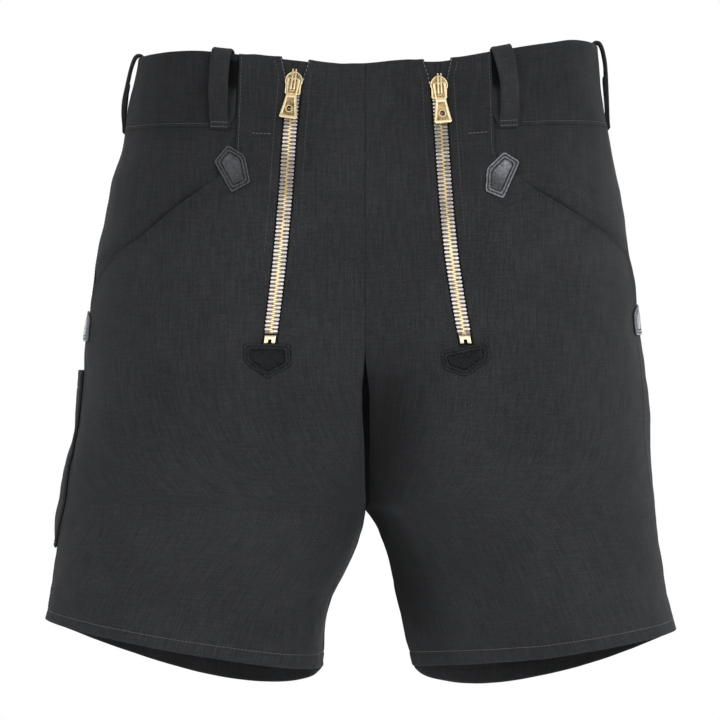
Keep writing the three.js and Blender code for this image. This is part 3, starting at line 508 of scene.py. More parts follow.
class Graph:
    """The shader nodes of a material or a world, with short ways to add and link them."""

    def __init__(self, owner):
        owner.use_nodes = True
        self.owner, self.nodes, self.links = owner, owner.node_tree.nodes, owner.node_tree.links

    def fill(self, node, inputs):
        """Gives each named input a value, or links another node's output to it."""
        for name, value in inputs.items():
            if isinstance(value, bpy.types.NodeSocket):
                self.links.new(value, node.inputs[name])
            else:
                node.inputs[name].default_value = value

    def add(self, kind, inputs=(), **settings):
        node = self.nodes.new("ShaderNode" + kind)
        for name, value in settings.items():
            setattr(node, name, value)
        self.fill(node, dict(inputs))
        return node

    def shade(self, inputs):
        """Fills the material's own shader and returns the material."""
        self.fill(self.nodes["Principled BSDF"], inputs)
        return self.owner

    def place(self):
        return self.add("TexCoord").outputs["Object"]

    def thread(self):
        return self.add("Attribute", attribute_name="thread").outputs["Vector"]

    def third(self, vector):
        return self.add("SeparateXYZ", {"Vector": vector}).outputs["Z"]

    def stops(self, source, rows):
        """Turns a 0 to 1 value into the colours, or greys, of (position, colour) rows."""
        node = self.add("ValToRGB", {"Fac": source})
        elements = node.color_ramp.elements
        for i, (position, colour) in enumerate(rows):
            inner = 0 < i < len(rows) - 1
            element = elements.new(position) if inner else elements[-(i > 0)]
            element.position = position
            element.color = (*colour, 1) if isinstance(colour, tuple) else (colour, colour, colour, 1)
        return node.outputs["Color"]

    def ramp(self, source, low, high, dark, light):
        return self.stops(source, ((low, dark), (high, light)))

    def noise(self, vector, scale, detail=4.0, roughness=0.55):
        inputs = {"Vector": vector, "Scale": scale, "Detail": detail, "Roughness": roughness}
        return self.add("TexNoise", inputs).outputs["Fac"]

    def streaks(self, vector, scale):
        stretched = self.add("Mapping", {"Vector": vector, "Scale": scale}).outputs["Vector"]
        return self.noise(stretched, 1.0, 2, 0.5)

    def blend(self, factor, a, b, kind="MIX"):
        inputs = {"Factor": factor, "A": a, "B": b}
        return self.add("Mix", inputs, data_type="RGBA", blend_type=kind).outputs["Result"]

    def times(self, a, b):
        return self.blend(1.0, a, b, "MULTIPLY")

    def bump(self, height, distance, strength, before=None):
        inputs = {"Height": height, "Distance": distance, "Strength": strength}
        if before is not None:
            inputs["Normal"] = before
        return self.add("Bump", inputs).outputs["Normal"]

    def waves(self, vector, period, turn):
        """Bands across the thread coordinates, one period apart and turned by an angle."""
        turned = self.add("Mapping", {"Vector": vector, "Rotation": (0, 0, turn)}).outputs["Vector"]
        inputs = {"Vector": turned, "Scale": 2 * math.pi / (20 * period), "Distortion": 0.6, "Detail": 1.0,
                  "Detail Scale": 2.0}
        return self.add("TexWave", inputs).outputs["Fac"]


def new_look(name):
    return Graph(bpy.data.materials.new(name))


def cloth_material(name, dark, light, twill=0.85 * MM):
    look = new_look(name)
    thread, place = look.thread(), look.place()
    diagonal = look.waves(thread, twill, math.radians(58))
    yarn = look.waves(thread, 0.62 * MM, 0.0)
    fleck = look.noise(place, 900, 3, 0.7)
    colour = look.ramp(look.noise(place, 14, 5, 0.6), 0.3, 0.72, dark, light)
    for tone in (
        look.ramp(fleck, 0.32, 0.7, (0.72, 0.72, 0.73), (1.28, 1.28, 1.27)),
        look.ramp(diagonal, 0.1, 0.9, 0.86, 1.12),
        look.ramp(look.streaks(thread, (640, 45, 1)), 0.3, 0.7, 0.82, 1.2),
        look.ramp(look.streaks(thread, (60, 560, 1)), 0.3, 0.7, 0.88, 1.13),
        # Darker by the third thread value: painted shade.
        look.ramp(look.third(thread), 0.0, 1.0, 1, 0),
    ):
        colour = look.times(colour, tone)
    normal = look.bump(diagonal, 0.22 * MM, 0.55)
    normal = look.bump(yarn, 0.12 * MM, 0.35, normal)
    normal = look.bump(fleck, 0.3 * MM, 0.4, normal)
    return look.shade({
        "Base Color": colour, "Normal": normal, "Roughness": 0.9, "Specular IOR Level": 0.2,
        "Sheen Weight": 0.05, "Sheen Roughness": 0.45, "Sheen Tint": (0.72, 0.76, 0.82, 1),
    })


def leather_material(name, gloss_level, dark, light, sheen_colour, relief=1.0):
    """Grained leather, with a lighter colour painted as a highlight where the third thread value says how
    lit it is.
    """
    look = new_look(name)
    place = look.place()
    cells = look.add("TexVoronoi", {"Vector": place, "Scale": 850}, feature="DISTANCE_TO_EDGE")
    grain = look.noise(place, 420, 5, 0.6)
    colour = look.ramp(look.noise(place, 70, 4, 0.6), 0.3, 0.75, dark, light)
    # How much of the painted highlight colour the grain lets through.
    amount = look.times(look.ramp(grain, 0.35, 0.7, 0.35, 1), look.third(look.thread()))
    edges = look.ramp(cells.outputs["Distance"], 0.0, 0.12, 0, 1)
    normal = look.bump(edges, 0.12 * relief * MM, 0.5)
    normal = look.bump(grain, 0.6 * MM, 0.8, normal)
    normal = look.bump(look.noise(place, 190, 3, 0.5), 1.6 * relief * MM, 0.8, normal)
    return look.shade({
        "Base Color": look.blend(amount, colour, (*sheen_colour, 1)), "Normal": normal,
        "Roughness": look.ramp(grain, 0.3, 0.75, 0.2, 0.42), "Specular IOR Level": gloss_level,
    })


def metal_material(name, dark, light, low, high):
    look = new_look(name)
    place = look.place()
    return look.shade({
        "Base Color": look.ramp(look.noise(place, 260, 4, 0.6), 0.3, 0.7, dark, light),
        "Roughness": look.ramp(look.noise(place, 900, 3, 0.6), 0.3, 0.7, low, high),
        "Metallic": 1.0,
    })


def thread_material(name, colour):
    look = new_look(name)
    twist = look.noise(look.place(), 2600, 2, 0.5)
    darker = tuple(c * 0.7 for c in colour)
    return look.shade({
        "Base Color": look.ramp(twist, 0.35, 0.65, darker, colour), "Roughness": 0.55,
        "Specular IOR Level": 0.4, "Normal": look.bump(twist, 0.08 * MM, 0.5),
    })


def tape_material(name):
    look = new_look(name)
    rib = look.waves(look.thread(), 0.9 * MM, math.pi / 2)
    return look.shade({
        "Base Color": look.ramp(rib, 0.1, 0.9, (0.006, 0.0065, 0.007), (0.014, 0.0145, 0.015)),
        "Roughness": 0.8, "Normal": look.bump(rib, 0.25 * MM, 0.6),
    })


CLOTH = cloth_material("charcoal_cloth", (0.0176, 0.0182, 0.0194), (0.0231, 0.0238, 0.0253))
# Each hide's third colour is its painted highlight colour.
HIDES = {
    "zip_end_tab": leather_material("black_leather", 0.2, (0.0012, 0.0018, 0.0022), (0.0035, 0.005, 0.006),
                                    (0.021, 0.024, 0.026), 3.0),
    "pocket_patch": leather_material("blue_black_leather", 0.5, (0.004, 0.005, 0.006), (0.012, 0.014, 0.017),
                                     (0.2, 0.21, 0.235)),
    "side_patch": leather_material("grey_leather", 0.4, (0.04, 0.043, 0.055), (0.07, 0.073, 0.09),
                                   (0.24, 0.245, 0.28)),
}
BRASS = metal_material("polished_brass", (0.90, 0.74, 0.42), (0.96, 0.83, 0.54), 0.14, 0.22)
# Brass painted darker as shade, for the slider's and pull's recesses and the chain's middle.
SHADED_BRASS = metal_material("brass_painted_shade", (0.17, 0.09, 0.035), (0.70, 0.52, 0.25), 0.2, 0.3)
# Brass painted dark as the shadow in the gaps between the teeth.
GAP_SHADOW_BRASS = metal_material("brass_painted_gap_shadow", (0.09, 0.08, 0.075), (0.26, 0.22, 0.19), 0.3, 0.4)
# Brass painted pale as the highlight on the teeth's polished outer ends.
HIGHLIGHT_BRASS = metal_material("brass_painted_highlight", (0.46, 0.435, 0.41), (0.62, 0.58, 0.54), 0.2, 0.3)
SEWING = thread_material("sewing_thread", (0.060, 0.062, 0.066))
PALE_SEWING = thread_material("pale_sewing_thread", (0.095, 0.097, 0.101))
DULL_THREAD = thread_material("leather_thread", (0.012, 0.013, 0.015))
TAPE_CLOTH = tape_material("zip_tape_cloth")


# Meshes

def add_object(name, data):
    obj = bpy.data.objects.new(name, data)
    bpy.context.collection.objects.link(obj)
    return obj


def add_smooth(name, mesh, materials, body):
    """An object of a mesh, shaded smooth, riding on a body."""
    mesh.polygons.foreach_set("use_smooth", [True] * len(mesh.polygons))
    for material in materials:
        mesh.materials.append(material)
    mesh.update()
    obj = add_object(name, mesh)
    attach(obj, body)
    return obj


def piece(name, points, faces, material, thread=None, body=BODY, merge=True):
    """A smooth mesh from points in millimetres, riding on a body."""
    mesh = bpy.data.meshes.new(name)
    mesh.from_pydata((np.asarray(points) * MM).tolist(), [], [tuple(map(int, f)) for f in faces])
    if thread is not None:
        values = np.zeros((len(points), 3), dtype=np.float32)
        values[:, :np.shape(thread)[1]] = np.asarray(thread) * MM
        layer = mesh.attributes.new("thread", "FLOAT_VECTOR", "POINT")
        layer.data.foreach_set("vector", values.ravel())
    if merge:
        bm = bmesh.new()
        bm.from_mesh(mesh)
        bmesh.ops.remove_doubles(bm, verts=bm.verts, dist=0.012 * MM)
        bmesh.ops.dissolve_degenerate(bm, edges=bm.edges, dist=0.001 * MM)
        loose = [v for v in bm.verts if not v.link_faces]
        bmesh.ops.delete(bm, geom=loose, context="VERTS")
        bm.to_mesh(mesh)
        bm.free()
    return add_smooth(name, mesh, (material,), body)


def wall_faces(keep, mirrored):
    """The quads of both faces and the rim of a grid wall: keep says which cells are there."""
    rows, columns = keep.shape
    wide, layer = columns + 1, (rows + 1) * (columns + 1)
    i, j = np.nonzero(keep)
    a, b, c, d = i * wide + j, (i + 1) * wide + j, (i + 1) * wide + j + 1, i * wide + j + 1
    faces = [np.stack([a, b, c, d], 1), np.stack([a, d, c, b], 1) + layer]
    padded = np.pad(keep, 1)
    for (di, dj), start, end in (((0, -1), a, b), ((1, 0), b, c), ((0, 1), c, d), ((-1, 0), d, a)):
        open_edge = ~padded[i + 1 + di, j + 1 + dj]
        s, e = start[open_edge], end[open_edge]
        faces.append(np.stack([s, s + layer, e + layer, e], 1))
    faces = np.concatenate(faces)
    return faces[:, ::-1] if mirrored else faces


def ring_faces(rings, count):
    """The quads between closed rings of points, one ring after another."""
    faces = []
    for r in range(rings - 1):
        for k in range(count):
            n = (k + 1) % count
            faces.append((r * count + k, r * count + n, (r + 1) * count + n, (r + 1) * count + k))
    return faces


def spread(start, end, count):
    """Places from start to end that lie close together near both ends."""
    reach = END_STEPS[-1]
    inner = np.linspace(start + reach, end - reach, count + 2)[1:-1]
    return np.concatenate([start + END_STEPS, inner, (end - END_STEPS)[::-1]])


def rounded(distance, thick):
    """Half the wall's thickness at a distance from its edge, so that the edge is round."""
    radius = thick * 0.5
    return radius * np.sqrt(np.clip(1 - (1 - np.clip(distance / radius, 0, 1)) ** 2, 0, 1))


# How much painted shade darkens a half's cloth at each place.
def shade_at(side, s, at):
    total = np.zeros(np.shape(s))
    for row in SHADES:
        if row["side"] == side:
            away = np.abs((s - row["s"]) / row["s_reach"]) ** 2.6 + ((at - row["at"]) / row["at_reach"]) ** 4
            total = np.maximum(total, row["amount"] * np.exp(-away))
    return total


def cloth_wall(name, side, s, at, distance, out, thick=WALL, keep=None, ridge=0.3,
               material=CLOTH, shade=0.0):
    """A wall of cloth over a grid of places, with its free edges rounded and a little proud."""
    half = HALF[side]
    keep = np.ones((s.shape[0] - 1, s.shape[1] - 1), bool) if keep is None else keep
    proud = ridge * np.exp(-((distance - 2.2) / 2.6) ** 2)
    middle = out - thick / 2 + proud / 2
    h = rounded(distance, thick) + np.where(distance > 0.6, proud / 2, 0)
    points = np.concatenate([
        half.point(s, at, middle + h).reshape(-1, 3), half.point(s, at, middle - h).reshape(-1, 3),
    ])
    # The third thread value carries the painted shade.
    thread = np.stack([s.ravel() * SIGN[side], at.ravel(), (shade_at(side, s, at) + shade).ravel() / MM], 1)
    return piece(name, points, wall_faces(keep, side == "right"), material, np.tile(thread, (2, 1)))


def rows_between(start, end, lines=()):
    """Row places from start to end, close together at both ends and beside stitched lines."""
    rows = set(np.round(np.arange(start + END_STEPS[-1], end - END_STEPS[-1] + 0.1, ROW_GRID), 3))
    for step in END_STEPS.tolist():
        rows |= {round(start + step, 3), round(end - step, 3)}
    for line in lines:
        rows = {r for r in rows if abs(r - line) > 2.4} | {line + step for step in LINE_STEPS}
    return np.array(sorted(r for r in rows if start - 1e-6 <= r <= end + 1e-6))


def edged_grid(rows, start, end, count, sewn, least=0.0):
    """A grid of places between two edges, and how far each lies from the nearest of its four edges.

    sewn says which of them are pressed flat: the first edge, the last, the top and the bottom.
    """
    s = np.array([spread(a, max(b, a + least), count) for a, b in zip(start, end)])
    at = np.broadcast_to(rows[:, None], s.shape).copy()
    gaps = (s - start[:, None], end[:, None] - s, at - rows[0], rows[-1] - at)
    distance = np.minimum.reduce([gap * SEWN if flat else gap for gap, flat in zip(gaps, sewn)])
    return s, at, distance


def along_mouth(at):
    return smooth((at - MOUTH["from"]) / MOUTH["fade"])


def groove(at, line, depth=0.35, width=0.8):
    return -depth * np.exp(-((at - line) / width) ** 2)


def hem_out(s, at):
    """The turned-up hem: a groove at its stitches, fullness below and a little roping."""
    below = smooth((at - HEM_LINE) / 3)
    roping = HEM["roping"] * np.sin(s / 5.2 + 1.3 * np.sin(s / 31)) * below
    return groove(at, HEM_LINE) + below * HEM["full"] + roping


def leg_thick(at):
    return WALL + HEM["thick"] * smooth((at - HEM_LINE) / 2)


def front_panel(side):
    """Slit for the zip, with its corners lifted, its pocket edge pressed and its middle seam sunk below."""
    rows = rows_between(0, AT["hem"], (HEM_LINE,))
    rows = np.array(sorted(set(rows[np.abs(rows - ZIP_ENDS) > 0.8]) | {ZIP_ENDS}))
    middle, half_slit = zip_s(side, rows), slit_half(rows)
    edge = EDGE[side](rows) + SEAM_OVERLAP * (rows > POCKET_ENDS)
    inner = [spread(0, m - h, 20) for m, h in zip(middle, half_slit)]
    outer = [spread(m + h, e, 58) for m, h, e in zip(middle, half_slit, edge)]
    s = np.concatenate([np.array(inner), np.array(outer)], 1)
    at = np.broadcast_to(rows[:, None], s.shape).copy()
    from_zip, to_edge = np.abs(s - middle[:, None]), edge[:, None] - s
    from_slit, in_slit = from_zip - half_slit[:, None], at <= ZIP_ENDS
    to_slit = np.where(in_slit, np.abs(from_slit), np.hypot(np.clip(from_slit, 0, None), at - ZIP_ENDS))
    sewn = np.where((at < FRONT_SEWN) | (at > POCKET_ENDS), SEWN, 1.0)
    distance = np.minimum.reduce([s * SEWN, sewn * to_edge, at, AT["hem"] - at, to_slit])
    keep = np.ones((len(rows) - 1, s.shape[1] - 1), bool)
    keep[rows[:-1] < ZIP_ENDS - 0.5, len(inner[0]) - 1] = False
    lifted = CORNER_LIFT["height"] * np.exp(-(from_zip / CORNER_LIFT["reach"]) ** 2)
    at_lifted = at - lifted * np.clip(1 - at / 8, 0, 1)
    pressed = MOUTH["proud"] * np.exp(-(to_edge / MOUTH["reach"]) ** 2)
    pressed = pressed + groove(to_edge, STITCHED["mouth"], 0.25, 0.9)
    pressed = pressed * along_mouth(at) * smooth((POCKET_ENDS - at) / MOUTH["fade"])
    curled = (1 - smooth(at / LIP["until"])) * np.clip(1 - from_slit / LIP["width"], 0, 1) ** 2
    flap = groove(from_slit, STITCHED["flap"], 0.22, 0.9) - LIP["drop"] * curled
    cleft = np.exp(-(s / CLEFT["width"]) ** 2) * (at < AT["crotch"] + 1)
    cleft = cleft * smooth((at - CLEFT["from"]) / (CLEFT["full"] - CLEFT["from"]))
    cleft = cleft * (1 - smooth((at - AT["crotch"] + 12) / 12))
    out = hem_out(s, at) + pressed + flap * in_slit - CLEFT["depth"] * cleft
    return cloth_wall(f"front_{side}_cloth", side, s, at_lifted, distance, out, leg_thick(at), keep)


def back_panel(side):
    half, rows = HALF[side], rows_between(AT["band"], AT["hem"], (HEM_LINE,))
    start, end = half.seam(rows) - SEAM_OVERLAP, half.length(rows)
    s, at, distance = edged_grid(rows, start, end, 88, (True, True, True, False))
    return cloth_wall(f"back_{side}_cloth", side, s, at, distance, hem_out(s, at), leg_thick(at))


def waistband(side):
    half, rows = HALF[side], rows_between(0, AT["band"], (BAND_LINE,))
    start, end = EDGE[side](rows) - UNDERLAP, half.length(rows)
    s, at, distance = edged_grid(rows, start, end, 110, (False, True, False, True))
    out = sunk(side, s, at) + groove(at, BAND_LINE, 0.25)
    return cloth_wall(f"waistband_{side}_cloth", side, s, at, distance, out)


def hip_yoke(side):
    half, rows = HALF[side], rows_between(AT["band"], YOKE_ENDS)
    start, end = EDGE[side](rows) - UNDERLAP, half.seam(rows)
    s, at, distance = edged_grid(rows, start, end, 50, (False, True, True, False), 10.5)
    past_edge = s - EDGE[side](at)
    out = sunk(side, s, at) - MOUTH["deeper"] * np.exp(-(past_edge / 7) ** 2) * along_mouth(at)
    # Painted shadow on the yoke just behind the pocket's edge.
    shade = MOUTH["shade"] * np.exp(-(past_edge / MOUTH["soft"]) ** 2) * along_mouth(at)
    return cloth_wall(f"hip_yoke_{side}_cloth", side, s, at, distance, out, shade=shade)


def zip_strip(name, side, offsets, rows, top, thick, material, keep=None):
    middle = zip_s(side, rows)
    s = middle[:, None] + offsets
    at = np.broadcast_to(rows[:, None], s.shape).copy()
    distance = np.minimum.reduce([s - s[:, :1], s[:, -1:] - s, at - rows[0], rows[-1] - at])
    return cloth_wall(name, side, s, at, distance, top, thick, keep, 0.0, material)


def zip_tape(side):
    rows = rows_between(1.5, ZIP_ENDS + 8)
    gap = 0.2 + 3 * np.clip(1 - rows / SLIDER_AT[side], 0, 1)
    left = np.array([np.linspace(-ZIP["tape_half"], -g, 9) for g in gap])
    offsets = np.concatenate([left, -left[:, ::-1]], 1)
    keep = np.ones((len(rows) - 1, offsets.shape[1] - 1), bool)
    keep[:, 8] = False
    return zip_strip(f"zip_tape_{side}_cloth", side, offsets, rows, UNDER_FRONT, TAPE, TAPE_CLOTH,
                     keep)


def zip_guard(side):
    rows = rows_between(0.5, ZIP_ENDS + 12)
    offsets = np.broadcast_to(spread(-ZIP["guard_half"], ZIP["guard_half"], 6), (len(rows), 20))
    return zip_strip(f"zip_guard_{side}_cloth", side, offsets, rows, UNDER_FRONT - TAPE - LIE, WALL, CLOTH)


def rule_pocket():
    p = RULE_POCKET
    rows = rows_between(p["from"], p["to"], (p["line"],))
    start = HALF[p["side"]].seam(rows) + p["seamGap"]
    s, at, distance = edged_grid(rows, start, start + p["width"], 16, (False,) * 4)
    across = np.clip((s - start[:, None]) / p["width"], 0, 1)
    closing = np.clip((p["to"] - at) / (p["to"] - p["from"]) * 6, 0, 1)
    bulge = p["bulge"] * np.sin(math.pi * across) ** 0.6 * closing
    out = LIE + WALL + bulge + groove(at, p["line"])
    return cloth_wall("rule_pocket_cloth", p["side"], s, at, distance, out)


def place_round(side, s, at, out):
    """As a half's point, but a place past the middle back seam is on the other half."""
    half, other = HALF[side], HALF["left" if side == "right" else "right"]
    length = half.length(at)
    here, there = half.point(s, at, out), other.point(2 * length - s, at, out)
    return np.where((s <= length)[..., None], here, there)


def bowed_line(kind):
    """A belt loop's middle line, smoothed: places down, places out and thicknesses."""
    line, bow = LOOP_LINE + LOOP_PLY[kind], LOOP_BOW[kind]
    rows = [(at, out * bow if at < LOOP["tacked"] and out > 0 else out, thick) for at, out, thick in line]
    rows = np.array(rows, float)
    steps = np.concatenate([[0], np.cumsum(np.hypot(*np.diff(rows[:, :2], axis=0).T))])
    t = np.linspace(0, steps[-1], LOOP_ROWS)
    return [curve_of(steps, rows[:, k])(t) for k in range(3)]


def belt_loop(name, side, middle, kind, sink=None):
    at, away, thick = bowed_line(kind)
    d_at, d_out = np.gradient(at), np.gradient(away)
    length = np.hypot(d_at, d_out)
    across = spread(-LOOP["width"] / 2, LOOP["width"] / 2, 4)
    edge = LOOP["width"] / 2 - np.abs(across)
    tip = np.minimum(np.arange(len(at)), np.arange(len(at))[::-1]) * 0.35
    distance = np.minimum(edge[None, :], tip[:, None])
    ridge = 0.18 * np.exp(-((edge - 1.6) / 1.1) ** 2)[None, :]
    h = rounded(distance, thick[:, None]) + np.where(distance > 0.5, ridge, 0)
    s_middle = np.array([middle(max(0.0, a)) for a in at])
    standing = np.sin(math.pi * np.clip(at / LOOP["tacked"], 0, 1)) * (away > 0.5) * LOOP_TILT[kind]
    turned_up = np.arange(len(at)) > at.argmax()
    tilt = -across[None, :] * (standing * ~turned_up)[:, None]
    s_middle = s_middle - LOOP_PLY_SHIFT[kind] * turned_up * smooth((at.max() - at) / 12)
    layers, threads = [], []
    for way in (1, -1):
        row_at = at[:, None] - way * h * (d_out / length)[:, None]
        s = np.broadcast_to(s_middle[:, None] + across[None, :], row_at.shape)
        out = away[:, None] + way * h * (d_at / length)[:, None] + tilt
        out = out + (sink(s, np.maximum(0, row_at)) if sink else 0)
        layers.append(place_round(side, s, row_at, out).reshape(-1, 3))
        threads.append(np.stack([s.ravel(), np.repeat(np.cumsum(length), len(across))], 1))
    keep = np.ones((len(at) - 1, len(across) - 1), bool)
    # Painted shade on the turned-up end of a front loop, where it shows in the hollow behind the loop.
    inside = turned_up & (at < at.max() - 3) & (kind == "front")
    shade = np.where(inside, INNER_PLY_SHADE * (1 - smooth((at - 26) / 10)), 0)
    shade = np.tile(np.repeat(shade, len(across)), 2)
    return piece(name, np.concatenate(layers), wall_faces(keep, side == "right"), CLOTH,
                 np.column_stack([np.concatenate(threads), shade / MM]))


# Stitches

class Sewing:
    """Gathers stitches along lines and makes one piece of them."""

    SIDES = 6
    PROFILE = ((-0.5, -0.25, 0.6), (-0.3, 0.42, 1.0), (0.3, 0.42, 1.0), (0.5, -0.25, 0.6))

    def __init__(self, name, material, slot="cloth"):
        self.name, self.material, self.slot = name, material, slot
        self.points, self.faces, self.count = [], [], 0

    def sew(self, places, normals, pitch=STITCH["pitch"], length=STITCH["length"], radius=STITCH["radius"]):
        """One stitch after another along a line of places, in millimetres."""
        steps = np.concatenate([[0], np.cumsum(np.linalg.norm(np.diff(places, axis=0), axis=1))])
        number = int(steps[-1] / pitch)
        if number < 1:
            return
        middles = (np.arange(number) + 0.5) * steps[-1] / number

        def along(t, rows):
            return np.stack([np.interp(t, steps, rows[:, k]) for k in range(3)], 1)

        centre, normal = along(middles, places), along(middles, normals)
        tangent = along(middles + length / 2, places) - along(middles - length / 2, places)
        tangent /= np.linalg.norm(tangent, axis=1, keepdims=True)
        side = np.cross(normal, tangent)
        side /= np.linalg.norm(side, axis=1, keepdims=True)
        normal = np.cross(tangent, side)
        turn = np.arange(self.SIDES) * 2 * math.pi / self.SIDES
        rings = []
        for shift, lift, size in self.PROFILE:
            ring = centre[:, None, :] + tangent[:, None, :] * shift * length
            ring = ring + normal[:, None, :] * (lift * radius + np.sin(turn)[None, :, None] * radius * size)
            ring = ring + side[:, None, :] * np.cos(turn)[None, :, None] * radius * size
            rings.append(ring)
        block = np.stack(rings, 1)  # stitch, ring, corner, place
        size = len(self.PROFILE) * self.SIDES
        base = self.count + np.arange(number)[:, None] * size
        cap = np.arange(self.SIDES)
        for face in (*ring_faces(len(self.PROFILE), self.SIDES), cap[::-1], cap + size - self.SIDES):
            self.faces.extend((base + np.array(face)).tolist())
        self.points.append(block.reshape(-1, 3))
        self.count += number * size

    def on_cloth(self, side, s, at, out=0.0, **sizes):
        s, at = np.broadcast_arrays(np.asarray(s, float), np.asarray(at, float))
        self.sew(HALF[side].point(s, at, out), HALF[side].normal(s, at), **sizes)

    def finish(self):
        points = np.concatenate(self.points)
        return piece(self.name, points, self.faces, self.material, merge=False)


def sew_cloth():
    """Every line of stitches on the cloth. The front hems, the tacks and the loops' feet are paler."""
    dark, pale = Sewing("seam_stitches", SEWING), Sewing("tack_stitches", PALE_SEWING)
    for side in SIDES:
        half, edge = HALF[side], EDGE[side]

        def down(sewing, rows, round_to, out, **sizes):
            at = np.linspace(*rows)
            sewing.on_cloth(side, round_to(at), at, out, **sizes)

        def beside_slit(sewing, rows, off, out, radius):
            at = np.linspace(*rows)
            for way in (-1, 1):
                s = zip_s(side, at) + way * (slit_half(at) + off)
                sewing.on_cloth(side, s, at, out, radius=radius)

        seam, end = float(half.seam(HEM_LINE)), float(half.length(HEM_LINE))
        pale.on_cloth(side, np.linspace(1.5, seam - 1.5, 200), HEM_LINE, -0.2)
        dark.on_cloth(side, np.linspace(seam + 1.5, end - 1.5, 200), HEM_LINE, -0.2)
        beside_slit(dark, (3, ZIP_ENDS - 3, 120), STITCHED["flap"], -0.3, 0.22)
        down(dark, (2, FRONT_SEWN, 60), lambda at: edge(at) - STITCHED["front_edge"], 0.1)
        down(dark, (108, YOKE_ENDS, 160), lambda at: edge(at) - STITCHED["mouth"], -0.4, radius=0.2)
        band_s = np.linspace(float(edge(60)) + 24, float(half.length(59)) - 2, 200)
        dark.on_cloth(side, band_s, BAND_LINE, sunk(side, band_s, 60.0) - 0.1)
        for rows in ((232, AT["hem"] - 2, 160), (AT["band"] + 3, YOKE_ENDS - 2, 90)):
            down(dark, rows, lambda at: half.seam(at) + STITCHED["seam"], 0.05)
        down(dark, (4, CLEFT["from"], 130), lambda at: 0 * at + STITCHED["centre"], -0.25, radius=0.2)
        down(dark, (AT["band"] + 3, 300, 120), lambda at: half.length(at) - STITCHED["back"], 0.05)
        tack = np.linspace(*(half.s_at_x(TACK["at"], x) for x in TACK[side]), 12)
        pale.on_cloth(side, tack, TACK["at"] + 0 * tack, 0.05, radius=0.36)
        for at in LOOP_FOOT:
            middle = half.s_at_x(at, float(curve_through(LOOP_X[side])(at)))
            foot = np.linspace(middle - 7, middle + 7, 12)
            pale.on_cloth(side, foot, at, sunk(side, foot, at) + 2.6, radius=0.36, pitch=2.2, length=1.9)
        beside_slit(pale, (0.5, 19, 24), 1.0, 0.1, 0.45)
    p = RULE_POCKET
    rows = np.linspace(p["from"] + 2, p["to"] - 2, 90)
    for off in (1.8, p["width"] - 1.8):
        lift = LIE + WALL + p["bulge"] * math.sin(math.pi * off / p["width"]) ** 0.6
        dark.on_cloth(p["side"], HALF[p["side"]].seam(rows) + p["seamGap"] + off, rows, lift)
    dark.finish()
    pale.finish()


# Leather patches

def inset(outline_points, distance):
    """A convex outline, anticlockwise, with each edge moved in by a distance."""
    count, moved = len(outline_points), []
    for i in range(count):
        a, b = outline_points[i], outline_points[(i + 1) % count]
        way = (b - a) / np.linalg.norm(b - a)
        inward = np.array([-way[1], way[0]])
        moved.append((a + inward * distance, way))
    corners = []
    for i in range(count):
        (p, u), (q, v) = moved[i - 1], moved[i]
        t = np.linalg.solve(np.array([u, -v]).T, q - p)[0]
        corners.append(p + u * t)
    return np.array(corners)


def rounded_outline(corners, radius, count=14, arc=5):
    """Points round an outline, the same number on each edge and each softened corner."""

    def along(start, towards):
        way = towards - start
        length = np.linalg.norm(way)
        return start + way / length * min(radius, 0.4 * length)

    points, total = [], len(corners)
    for i in range(total):
        here, before, after = corners[i], corners[i - 1], corners[(i + 1) % total]
        start, end, after_end = along(here, before), along(here, after), along(after, here)
        for t in np.linspace(0, 1, arc):
            points.append((1 - t) ** 2 * start + 2 * t * (1 - t) * here + t * t * end)
        for t in np.linspace(0, 1, count + 2)[1:-1]:
            points.append(end + (after_end - end) * t)
    return np.array(points)


